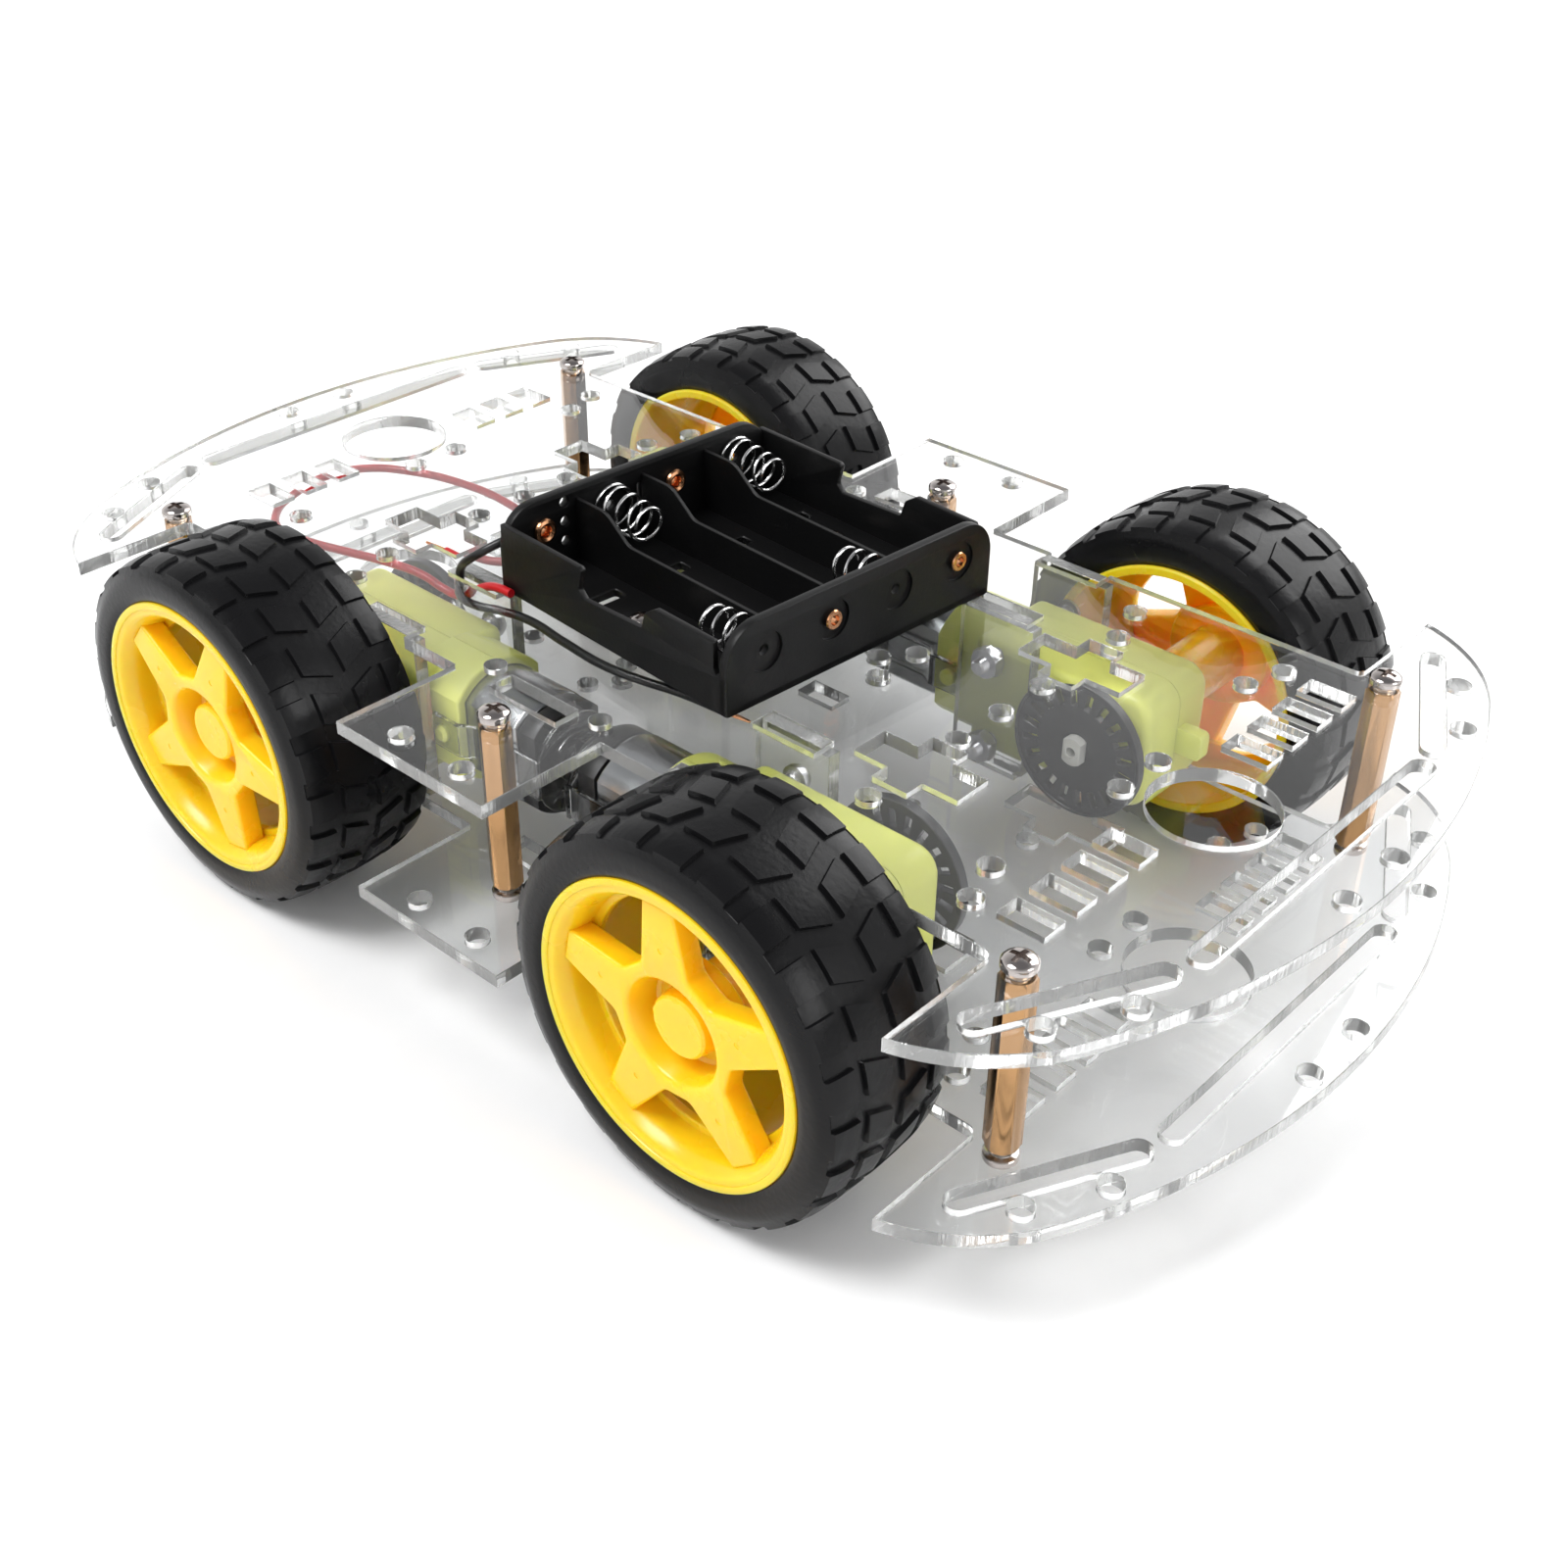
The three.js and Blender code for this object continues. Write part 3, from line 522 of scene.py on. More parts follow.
def deck_outline():
    centre_x = DECK_HALF_LENGTH - BUMPER_RADIUS
    reach = BUMPER_RADIUS - CORNER_RADIUS
    corner = (centre_x + reach * math.cos(BUMPER_SWEEP), reach * math.sin(BUMPER_SWEEP))
    tip = math.acos((WING_X - corner[0]) / CORNER_RADIUS)
    near, far = BRACKET_X - BRACKET_SLOT_LENGTH / 2, BRACKET_X + BRACKET_SLOT_LENGTH / 2
    notch = BODY_HALF_WIDTH - BRACKET_NOTCH_DEPTH
    quarter = (
        arc(centre_x, 0, BUMPER_RADIUS, 0, BUMPER_SWEEP, 20)
        + arc(*corner, CORNER_RADIUS, BUMPER_SWEEP, tip, 20)[1:]
        + [(WING_X, BODY_HALF_WIDTH), (far, BODY_HALF_WIDTH), (far, notch), (near, notch),
           (near, BODY_HALF_WIDTH), (TAB_HALF_LENGTH, BODY_HALF_WIDTH),
           (TAB_HALF_LENGTH, TAB_HALF_WIDTH)]
    )
    points = four_way(quarter)
    at_wing = [(abs(x), abs(y)) == (WING_X, BODY_HALF_WIDTH) for x, y in points]
    return rounded(points, [WING_CORNER_RADIUS if here else 0 for here in at_wing])


def cross(x, y):
    reach_x, reach_y, arm_x, arm_y = 10.2, 7.5, 3.4, 3.75
    steps = four_way([(reach_x, arm_y), (arm_x, arm_y), (arm_x, reach_y)])
    return [(x + dx, y + dy) for dx, dy in steps]


SMALL_HOLE_RADIUS = 2.0
# Screw holes of one quarter of the deck, and those on its centreline.
SMALL_HOLES = [
    (107.8, 58.4), (114.5, 46.3), (123.3, 7), (84.3, 42.6), (7.3, 70.2), (81.7, 34.6), (84, 5.1),
    (57.5, 33.2), (54.6, 42.7), (57.5, 11.3), (36, 5.2), (12.6, 46.1),
]
CENTRE_HOLES = [31.8, 57.5]
ROUND_HOLE_X = 97.2
ROUND_HOLE_RADIUS = 10.3
LONG_SLOT_WIDTH = 4
ROW_SLOT = (8.2, 4.8)
ROW_SLOT_X = 93.2
FRONT_ROWS = (17.6, 25.3, 33, 40.7)
STANDOFF_HOLE_RADIUS = 1.7
BRACKET_QUARTER = [(7.9, 14.9), (6.3, 14.9), (6.3, 17.4)]
STANDOFFS = {name: [(a + b) / 2 for a, b in zip(*box_mm(name))]
             for name in frame["nodes"] if name.startswith("standoff_")}


def deck_holes():
    holes = []
    for sx in (1, -1):
        for sy in (1, -1):
            holes += [circle(x * sx, y * sy, SMALL_HOLE_RADIUS, 28) for x, y in SMALL_HOLES]
            holes.append(cross(58 * sx, 21.4 * sy))
            holes.append(rectangle(BRACKET_X * sx, 27.8 * sy, BRACKET_SLOT_LENGTH, 4.8))
            holes.append(slot((100.6 * sx, 63.4 * sy), (113.6 * sx, 37.9 * sy), LONG_SLOT_WIDTH))
        holes += [circle(x * sx, 0, SMALL_HOLE_RADIUS, 28) for x in CENTRE_HOLES]
        holes.append(circle(ROUND_HOLE_X * sx, 0, ROUND_HOLE_RADIUS, 64))
        holes.append(slot((115 * sx, -31.5), (115 * sx, 31.5), LONG_SLOT_WIDTH))
    for sy in (1, -1):
        holes.append(rectangle(0, 49 * sy, 16, 5))
        holes.append(rectangle(0, 23.2 * sy, 8.6, 5))
        holes += [rectangle(ROW_SLOT_X, y * sy, *ROW_SLOT) for y in FRONT_ROWS]
        holes += [rectangle(-ROW_SLOT_X, y * sy, *ROW_SLOT) for y in FRONT_ROWS[:3]]
    holes += [circle(x, y, STANDOFF_HOLE_RADIUS, 24) for x, y, _ in STANDOFFS.values()]
    return holes


def add_acrylic(name, mesh, matrix, material, edge_material, thin_axis, *nodes):
    """An acrylic sheet piece, whose cut edges have their own material."""
    made = piece(name, mesh, matrix, "chassis", material, "clear_acrylic", *nodes)
    made.data.materials.append(edge_material)
    for polygon in made.data.polygons:
        if abs(polygon.normal[thin_axis]) < 0.9:
            polygon.material_index = 1


def add_decks(materials):
    sheet = (materials["acrylic"], materials["acrylic_edge"])
    for node, low, high in (("lower_deck", LOWER_Z, LOWER_TOP), ("upper_deck", UPPER_Z, UPPER_TOP)):
        mesh = plate(deck_outline(), low, high, deck_holes(), edge=0.12)
        add_acrylic(node + "_sheet", mesh, Matrix.Identity(4), *sheet, 2, node)

    middle_z = (UPPER_Z + LOWER_TOP) / 2 - AXLE_Z
    outline = [(BRACKET_X + x, middle_z + z) for x, z in four_way(BRACKET_QUARTER)]
    holes = [circle(CLAMP_BOLT_X, side * CLAMP_BOLT_Z, CLAMP_HOLE_RADIUS, 20) for side in (1, -1)]
    for kind, span in (("inner", INNER_BRACKET_Y), ("outer", OUTER_BRACKET_Y)):
        mesh = y_plate(outline, *span, holes, edge=0.12)
        for corner in CORNERS:
            node = f"{kind}_bracket_{corner}"
            add_acrylic(node + "_sheet", mesh, corner_matrix(corner), *sheet, 1, node)


# ---- screws, standoffs and bolts ----
CLAMP_BOLT_X = 36.9
CLAMP_BOLT_Z = 8.8


def pan_head(radius, height, shank_radius, shank_length):
    """A Phillips pan head screw, head up, with its seat at height 0."""
    dome = [(radius * math.cos(a), height * (0.45 + 0.55 * math.sin(a)))
            for a in (math.radians(12 * i) for i in range(8))]
    thread = []
    pitch = 0.5
    turns = int(shank_length / pitch)
    for i in range(turns):
        thread += [(shank_radius, -pitch * i - 0.1), (shank_radius - 0.22, -pitch * (i + 0.5))]
    profile = [(0, height), *dome[::-1], (radius, 0.15), (radius - 0.15, 0), *thread,
               (shank_radius - 0.3, -shank_length), (0, -shank_length)]
    body = lathe(profile, 32)
    reach, half = radius * 0.6, radius * 0.16
    star = four_way([(reach, half), (half, half), (half, reach)])
    return boolean(body, [plate(star, height * 0.4, height + 1, edge=0.02)], "DIFFERENCE")


def hex_bar(across, low, high):
    """A hexagonal bar with turned, chamfered ends."""
    flats = across / 2
    chamfer = 0.45
    rows = [(low, flats), (low + chamfer, 99), (high - chamfer, 99), (high, flats)]
    steps = 72
    verts, faces = [], []
    for height, limit in rows:
        for i in range(steps):
            angle = 2 * math.pi * i / steps
            off_flat = (angle + math.pi / 6) % (math.pi / 3) - math.pi / 6
            radius = min(flats / math.cos(off_flat), limit)
            verts.append((radius * math.cos(angle), radius * math.sin(angle), height))
    for row in range(3):
        for i in range(steps):
            j = (i + 1) % steps
            faces.append([row * steps + i, row * steps + j, (row + 1) * steps + j, (row + 1) * steps + i])
    faces.append(list(range(steps))[::-1])
    faces.append(list(range(3 * steps, 4 * steps)))
    mesh = bpy.data.meshes.new("hex_bar")
    mesh.from_pydata(verts, [], faces)
    return mesh


def add_standoffs(materials):
    gap = 0.02
    bar = hex_bar(5, LOWER_TOP + gap, UPPER_Z - gap)
    screw = pan_head(2.75, 2.0, 1.45, 2.4)
    for name, (x, y, _) in STANDOFFS.items():
        place = Matrix.Translation((x, y, 0))
        piece(name + "_bar", bar, place, "chassis", materials["brass"], "brass", name)
        top = place @ Matrix.Translation((0, 0, UPPER_TOP))
        piece(name + "_top_screw", screw, top, "chassis", materials["nickel"], "brass", name)
        bottom = place @ Matrix.Translation((0, 0, LOWER_Z)) @ Matrix.Rotation(math.pi, 4, "X")
        piece(name + "_bottom_screw", screw, bottom, "chassis", materials["nickel"], "brass", name)


def clamp_bolt(head_out, end_out):
    """A bolt along Z from its head, at the outer face of one bracket, to past the other bracket."""
    grip = OUTER_BRACKET_Y[1] - INNER_BRACKET_Y[0]
    head_radius, shank, pitch = 2.5, 1.48, 0.5
    head = [(0, -head_out), (head_radius * 0.8, -head_out), (head_radius, -head_out * 0.5),
            (head_radius, 0), (shank, 0), (shank, grip)]
    thread = []
    for i in range(int(end_out / pitch)):
        thread += [(shank - 0.2, grip + pitch * (i + 0.5)), (shank, grip + pitch * (i + 1))]
    return lathe([*head, *thread, (shank - 0.4, grip + end_out + 0.1), (0, grip + end_out + 0.1)], 28)


def clamp_nut(thick):
    """A nut whose seat is at height 0."""
    bore = lathe([(0, -1), (1.5, -1), (1.5, thick + 1), (0, thick + 1)], 28)
    return boolean(hex_bar(5.5, 0, thick), [bore], "DIFFERENCE")


def add_clamp_bolts(materials):
    """Two bolts through each gearbox and its brackets. Every nut is on the bolt's right hand end, so
    the left corners have them inboard and the right corners outboard, under the wheel's rim."""
    inboard_kit = (clamp_bolt(1.1, 4.2), clamp_nut(2.3))
    outboard_kit = (clamp_bolt(1.9, 1.0), clamp_nut(0.9))
    to_inboard, to_outboard = (Matrix.Rotation(turn * math.pi / 2, 4, "X") for turn in (1, -1))
    faces = (INNER_BRACKET_Y[0], OUTER_BRACKET_Y[1])
    for corner, (_, sy) in CORNERS.items():
        bolt, nut = inboard_kit if sy > 0 else outboard_kit
        nut_face, head_face = faces if sy > 0 else faces[::-1]
        facing = to_inboard if sy > 0 else to_outboard
        for side, word in ((1, "upper"), (-1, "lower")):
            across = corner_matrix(corner) @ Matrix.Translation((CLAMP_BOLT_X, 0, side * CLAMP_BOLT_Z))
            for kind, mesh, face in (("bolt", bolt, head_face), ("nut", nut, nut_face)):
                piece(f"{word}_clamp_{kind}_{corner}", mesh,
                      across @ Matrix.Translation((0, face, 0)) @ facing, "chassis",
                      materials["zinc"], "motor_steel")


# ---- gearmotors ----
MOTOR_RADIUS = 10
MOTOR_HALF_FLAT = 7.6
SHAFT_RADIUS = 2.7
SHAFT_HALF_FLAT = 1.85
CASE_WALL = 1.6
CASE_REAR_X = 31.7
HALF_GAP = 0.08
CLAMP_HOLE_RADIUS = 1.6
NOSE_SCREW_X = 64.6
NOSE_SCREW_Z = 7.4
TOOTH_DEPTH = 0.9


def double_d(radius, half_flat, steps=10):
    """A round section with two flats, its long axis upright."""
    turn = math.acos(half_flat / radius)
    upper = arc(0, 0, radius, turn, math.pi - turn, steps)
    return upper + [(-x, -y) for x, y in upper]


def motor_section(grow):
    """The motor's section, about the motor's axis, in YZ."""
    return [(MOTOR_Y + y, z) for y, z in double_d(MOTOR_RADIUS + grow, MOTOR_HALF_FLAT + grow, 14)]


def case_blank():
    """The whole gearbox shell before it is parted: gear chamber, motor neck and nose peg."""
    half = CASE_HALF_HEIGHT
    box = [(CASE_REAR_X, -half), (CASE_NOSE_X, -half), (CASE_NOSE_X, half), (CASE_REAR_X, half)]
    chamber = rounded(box, [2, 4.4, 4.4, 2], 8)
    body = y_plate(chamber, CASE_INNER_Y, CASE_OUTER_Y, edge=1.9, steps=4)
    neck = x_plate(motor_section(1.8), NECK_END_X, CASE_REAR_X + 3, edge=0.5, steps=2)
    peg_outline = rounded(rectangle(CASE_NOSE_X + 1.5, 0, 7, 5.2), [0, 1.1, 1.1, 0], 4)
    peg = y_plate(peg_outline, MOTOR_Y + HALF_GAP, MOTOR_Y + 3, edge=0.3, steps=1)
    return boolean(body, [neck, peg], "UNION")


def case_cuts():
    room = rectangle((CASE_NOSE_X + 33 - CASE_WALL) / 2, 0, CASE_NOSE_X - 33 - CASE_WALL,
                     2 * (CASE_HALF_HEIGHT - CASE_WALL))
    cuts = [
        y_plate(room, CASE_INNER_Y + CASE_WALL, CASE_OUTER_Y - CASE_WALL),
        x_plate(motor_section(0.2), NECK_END_X - 1, 34, edge=0.01),
        y_plate(circle(AXLE_X, 0, SHAFT_RADIUS + 0.3, 40), CASE_INNER_Y - 1, CASE_OUTER_Y + 1),
    ]
    for side in (1, -1):
        cuts.append(y_plate(circle(CLAMP_BOLT_X, side * CLAMP_BOLT_Z, CLAMP_HOLE_RADIUS, 24),
                            CASE_INNER_Y - 1, CASE_OUTER_Y + 1))
        cuts.append(y_plate(circle(NOSE_SCREW_X, side * NOSE_SCREW_Z, 1.9, 24), CASE_OUTER_Y - 1.2,
                            CASE_OUTER_Y + 1))
    return cuts


def gearbox_shells():
    """The cover, inboard of the parting plane, and the case, outboard of it."""
    whole = boolean(case_blank(), case_cuts(), "DIFFERENCE")
    around = rectangle(AXLE_X, 0, 120, 60)
    halves = ((0, MOTOR_Y - HALF_GAP), (MOTOR_Y + HALF_GAP, 120))
    return [boolean(whole.copy(), [y_plate(around, *half, edge=0.01)], "INTERSECT") for half in halves]


def gear_outline(teeth, pitch_radius, depth):
    """A toothed outline round the pitch circle."""
    points = []
    for i in range(teeth):
        for share, height in ((-0.27, -0.5), (-0.15, 0.5), (0.15, 0.5), (0.27, -0.5)):
            angle = 2 * math.pi * (i + share) / teeth
            radius = pitch_radius + height * depth
            points.append((radius * math.cos(angle), radius * math.sin(angle)))
    return points


def motor_can():
    can = x_plate(motor_section(0), CAN_REAR_X, CAN_FRONT_X, edge=0.8, steps=3)
    room = x_plate(motor_section(-0.7), CAN_REAR_X - 1, CAN_FRONT_X - 1.5, edge=0.02)
    bore = x_plate(circle(MOTOR_Y, 0, 1.6, 24), CAN_REAR_X, CAN_FRONT_X + 1, edge=0.02)
    return boolean(can, [room, bore], "DIFFERENCE")


def motor_end_cap():
    disc = x_plate(motor_section(-0.15), CAP_REAR_X + 1.5, CAP_FRONT_X, edge=0.35, steps=1)
    boss = x_plate(circle(MOTOR_Y, 0, 3.2, 32), CAP_REAR_X, CAP_REAR_X + 2, edge=0.4, steps=1)
    pads = [x_plate(rounded(rectangle(MOTOR_Y, side * 6.6, 5.4, 2.6), 0.5, 3), CAP_REAR_X + 0.9,
                    CAP_REAR_X + 2) for side in (1, -1)]
    bore = x_plate(circle(MOTOR_Y, 0, 1.5, 24), CAP_REAR_X - 1, CAP_FRONT_X + 1, edge=0.02)
    return boolean(boolean(disc, [boss, *pads], "UNION"), [bore], "DIFFERENCE")


def solder_tags():
    """Two bent brass tags, each with an eye for the lead, out of the end cap."""
    tags = []
    for side in (1, -1):
        eye_z = side * 9.6
        eye = [circle(-0.2, eye_z, 0.65, 16)]
        outline = rounded([(-1.3, side * 6.2), (1.1, side * 6.2), (1.1, eye_z + side * 1.3),
                           (-1.3, eye_z + side * 1.3)], 0.4, 3)
        tag = x_plate(outline, -0.2, 0.2, eye, edge=0.05)
        tags.append(moved(tag, CAP_REAR_X + 0.6, MOTOR_Y, 0))
    return merged(tags)


def motor_strap():
    """A clear strap round the motor's end, hooked over a knob on each side of the neck."""
    thick, arm = 1.0, 3.2
    flat, knob = MOTOR_HALF_FLAT, MOTOR_HALF_FLAT + 2.0
    end_x = CAP_REAR_X + 0.55
    ring = x_plate(circle(MOTOR_Y, 0, 8.7, 56), end_x - thick, end_x, [circle(MOTOR_Y, 0, 4.9, 40)],
                   edge=0.2, steps=1)
    path = [(end_x - thick, 0), (end_x - thick, flat + 1.2), (10.5, flat + 1.2),
            (NECK_END_X - 3, flat + 1.3), (NECK_END_X - 0.6, knob + 0.9), (28.8, knob + 0.9),
            (28.8, knob - 0.1), (NECK_END_X, knob - 0.1), (NECK_END_X - 2.6, flat + 0.3),
            (end_x, flat + 0.3), (end_x, 0)]
    parts = []
    for side in (1, -1):
        mirrored = [(x, y * side) for x, y in path][::side]
        band = plate(rounded(mirrored, 0.25, 2), -arm, arm, edge=0.15)
        parts.append(moved(band, 0, MOTOR_Y, 0))
    return boolean(ring, parts, "UNION")


def strap_knobs():
    """The two moulded knobs that the strap hooks over."""
    knobs = []
    for side in (1, -1):
        knob = lathe([(0, 0), (1.6, 0), (1.6, 1.5), (1.1, 2.0), (0, 2.0)], 24)
        knob.transform(Matrix.Rotation(-side * math.pi / 2, 4, "X"))
        knobs.append(moved(knob, 26.2, MOTOR_Y + side * (MOTOR_HALF_FLAT + 1.6), 0))
    return merged(knobs)


def motor_rotor():
    """Armature with three poles, commutator, shaft and pinion, about the motor's axis."""
    pole = []
    for i in range(3):
        middle = 2 * math.pi * i / 3
        pole += arc(0, 0, 6.1, middle - 0.92, middle + 0.92, 10)
        pole += [(1.9 * math.cos(middle + 1.05), 1.9 * math.sin(middle + 1.05))]
    parts = [plate(pole, 13.5, 25.5, edge=0.1), lathe([(0, 6.6), (1, 6.6), (1, 39), (0, 39)], 20),
             lathe([(0, 9.8), (2.2, 9.8), (2.2, 13), (0, 13)], 20),
             plate(gear_outline(9, 2.1, 0.8), 33.6, 39, edge=0.05)]
    rotor = merged(parts)
    rotor.transform(XY_TO_YZ)
    return moved(rotor, 0, MOTOR_Y, 0)


def crown_gear():
    top = MOTOR_Y - 2.6
    crown = y_plate(gear_outline(28, 8.2, TOOTH_DEPTH), top - 2, top, edge=0.1)
    small = y_plate(gear_outline(10, 2.35, TOOTH_DEPTH), top - 0.5, 44.6, edge=0.05)
    spindle = y_plate(circle(0, 0, 1.2, 20), 30.6, 45.2, edge=0.1)
    return moved(merged([crown, small, spindle]), CROWN_X, 0, 0)


def output_shaft():
    ends = y_plate(double_d(SHAFT_RADIUS, SHAFT_HALF_FLAT), SHAFT_INNER_Y, SHAFT_OUTER_Y, edge=0.25, steps=1)
    middle = y_plate(circle(0, 0, SHAFT_RADIUS, 40), CASE_INNER_Y - 0.4, CASE_OUTER_Y + 0.4, edge=0.1)
    gear = y_plate(gear_outline(36, 8.7, TOOTH_DEPTH), 38.2, 44.2, edge=0.1)
    solid = boolean(middle, [ends, gear], "UNION")
    holes = [y_plate(circle(0, 0, 0.95, 20), low, low + 6, edge=0.05)
             for low in (SHAFT_INNER_Y - 1, SHAFT_OUTER_Y - 5)]
    return moved(boolean(solid, holes, "DIFFERENCE"), AXLE_X, 0, 0)


DISC_THICK = 1.6
DISC_RADIUS = 13
DISC_SLOTS = 20
DISC_SLOT_RADIUS = 9.8
DISC_SLOT_SIZE = (3, 1.2)
DISC_HUB_RADIUS = 5


def encoder_disc():
    key = double_d(SHAFT_RADIUS + 0.08, SHAFT_HALF_FLAT + 0.08)
    windows = []
    for i in range(DISC_SLOTS):
        angle = 2 * math.pi * (i + 0.5) / DISC_SLOTS
        along = Vector((math.cos(angle), math.sin(angle)))
        across = Vector((-math.sin(angle), math.cos(angle)))
        corners = [tuple(along * r + across * w)
                   for r, w in rectangle(DISC_SLOT_RADIUS, 0, *DISC_SLOT_SIZE)]
        windows.append(rounded(corners, 0.15, 2))
    edge = circle(0, 0, DISC_RADIUS, 96)
    disc = y_plate(edge, DISC_Y, DISC_Y + DISC_THICK, [key, *windows], edge=0.15)
    rim = y_plate(edge, DISC_Y - 0.25, DISC_Y + 0.5, [circle(0, 0, DISC_RADIUS - 0.7, 96)], edge=0.1)
    hub = y_plate(circle(0, 0, DISC_HUB_RADIUS, 48), DISC_Y + 0.3, DISC_HUB_END_Y, [key], edge=0.3,
                  steps=1)
    return moved(boolean(disc, [rim, hub], "UNION"), AXLE_X, 0, 0)


def add_gearmotors(materials):
    cover, case = gearbox_shells()
    # Name before and after the corner's, mesh, material, slot, body. With a name after, it replaces a node.
    rows = [
        ("gearbox_cover_", "_shell", cover, "case", "gear_case_yellow", "chassis"),
        ("gearbox_case_", "_shell", case, "case", "gear_case_yellow", "chassis"),
        ("strap_knobs_", "", strap_knobs(), "case", "gear_case_yellow", "chassis"),
        ("motor_can_", "_shell", motor_can(), "can", "motor_steel", "chassis"),
        ("motor_end_cap_", "_moulding", motor_end_cap(), "cap", "black_plastic", "chassis"),
        ("solder_tags_", "", solder_tags(), "nickel", "brass", "chassis"),
        ("motor_strap_", "", motor_strap(), "strap", "clear_acrylic", "chassis"),
        ("motor_rotor_", "_armature", motor_rotor(), "laminate", "motor_steel", "rotor_"),
        ("crown_gear_", "_teeth", crown_gear(), "nylon", "white_nylon", "crown_"),
        ("output_shaft_", "_gear", output_shaft(), "nylon", "white_nylon", "wheel_"),
        ("encoder_disc_", "_slotted", encoder_disc(), "disc", "disc_plastic", "wheel_"),
    ]
    screw = pan_head(1.7, 1.0, 0.8, 3)
    for corner in CORNERS:
        matrix = corner_matrix(corner)
        for start, end, mesh, material, slot_name, body in rows:
            node = start + corner
            rides = body if body == "chassis" else body + corner
            piece(node + end, mesh, matrix, rides, materials[material], slot_name, *[node] * bool(end))
        for side, word in ((1, "upper"), (-1, "lower")):
            at = Matrix.Translation((NOSE_SCREW_X, CASE_OUTER_Y - 1.1, side * NOSE_SCREW_Z))
            piece(f"{word}_gearbox_screw_{corner}", screw,
                  matrix @ at @ Matrix.Rotation(-math.pi / 2, 4, "X"), "chassis", materials["zinc"],
                  "motor_steel")


# ---- wheels, about their own axis, Z outboard ----
RIM_RADIUS = 25.5
SPOKES = 5
SPOKE_TURN = {"front_right": 95.5, "rear_right": 139, "front_left": 60, "rear_left": 100}
SPOKE_FACE = 11.6
RECESS_RADIUS = 8.9
DIMPLE_RING_RADIUS = 14.4


def rim_barrel():
    """Lip, dished outer wall, thin flange behind the spokes and barrel."""
    lip = TYRE_HALF_WIDTH - 0.05
    profile = [
        (RIM_RADIUS - 0.9, -lip), (RIM_RADIUS - 0.5, -lip + 0.3), (RIM_RADIUS - 0.5, lip - 2.2),
        (RIM_RADIUS, lip - 1.6), (RIM_RADIUS, lip - 0.35), (RIM_RADIUS - 0.1, lip - 0.1),
        (RIM_RADIUS - 0.35, lip), (24.5, lip), (24.25, lip - 0.1), (24.15, lip - 0.3), (23.4, lip - 0.35),
        (23.1, lip - 0.5), (22.7, lip - 0.95), (22.2, lip - 1.6), (21.8, lip - 2.3), (21.5, lip - 3.2),
        (21.35, lip - 4.4), (21.3, 7.6), (21.1, 7.2), (20.2, 7.1), (20.0, 6.9), (20.0, 5.7), (20.2, 5.5),
        (22.0, 4.6), (22.8, 3.6), (23.1, 1.5), (23.2, -lip + 0.3), (23.4, -lip),
    ]
    return lathe(profile[::-1], 128)


def spoke_star():
    """The five spokes, whose tips end inside the dished wall, as the outline round their windows."""
    root, tip = (11.7, math.radians(12.5)), (22.2, math.radians(28.4))
    outline = []
    for i in range(SPOKES):
        window = 2 * math.pi * (i + 0.5) / SPOKES
        outline += [(r * math.cos(window + side * a), r * math.sin(window + side * a))
                    for side, (r, a) in ((-1, tip), (-1, root), (1, root), (1, tip))]
    return plate(rounded(outline, [0, 1.9, 1.9, 0] * SPOKES, 6), 7.4, SPOKE_FACE, edge=0.6, steps=3)


def wheel_rim():
    hub_cut = lathe([(0, 6.0), (RECESS_RADIUS - 1.6, 6.0), (RECESS_RADIUS - 1.0, 6.4),
                     (RECESS_RADIUS - 0.1, SPOKE_FACE - 0.7), (RECESS_RADIUS + 0.15, SPOKE_FACE - 0.3),
                     (RECESS_RADIUS + 0.8, SPOKE_FACE + 0.1), (RECESS_RADIUS + 0.8, 20), (0, 20)], 72)
    floor = lathe([(0, 4.6), (10.0, 4.6), (10.4, 5.0), (10.4, 8.4), (0, 8.4)], 72)
    boss_low = OUTER_BRACKET_Y[1] + 0.9 - WHEEL_Y
    boss = lathe([(0, boss_low), (5.6, boss_low), (5.8, 5.2), (5.2, 9.6), (4.8, 10.0), (0, 10.0)], 56)
    key_nub = plate(rounded(rectangle(4.4, 0, 2.6, 1.6), 0.5, 3), 5.5, 9.5, edge=0.3, steps=1)
    key_nub.transform(Matrix.Rotation(math.radians(85), 4, "Z"))
    key = double_d(SHAFT_RADIUS + 0.1, SHAFT_HALF_FLAT + 0.1)
    bore = plate(key, boss_low - 1, SHAFT_OUTER_Y + 0.5 - WHEEL_Y, edge=0.02)
    dimples = []
    for i in range(SPOKES):
        angle = 2 * math.pi * i / SPOKES
        dimple = lathe([(0, SPOKE_FACE - 0.18), (0.5, SPOKE_FACE - 0.1), (0.7, SPOKE_FACE + 1),
                        (0, SPOKE_FACE + 1)], 16)
        dimples.append(moved(dimple, DIMPLE_RING_RADIUS * math.cos(angle),
                             DIMPLE_RING_RADIUS * math.sin(angle)))
    star = boolean(boolean(spoke_star(), [floor], "UNION"), [hub_cut], "DIFFERENCE")
    rim = boolean(rim_barrel(), [star, boss, key_nub], "UNION")
    return boolean(rim, [bore, *dimples], "DIFFERENCE")


TREAD_PITCHES = 24
TREAD_DEPTH = 0.7
CHEVRON_LEAN = math.radians(4.3)  # how far a block's outer end is turned ahead of its inner end
BLOCK_ROWS = [(1.25, 6.1), (7.9, 12.2)]  # from the tyre's middle, on each side
TREAD_TURN = math.radians(4)


def crown(distance):
    """The tread's radius at a distance from the tyre's middle, falling away at the shoulder."""
    return TYRE_RADIUS - 0.0042 * distance * distance - 0.022 * max(0, distance - 8) ** 2.2


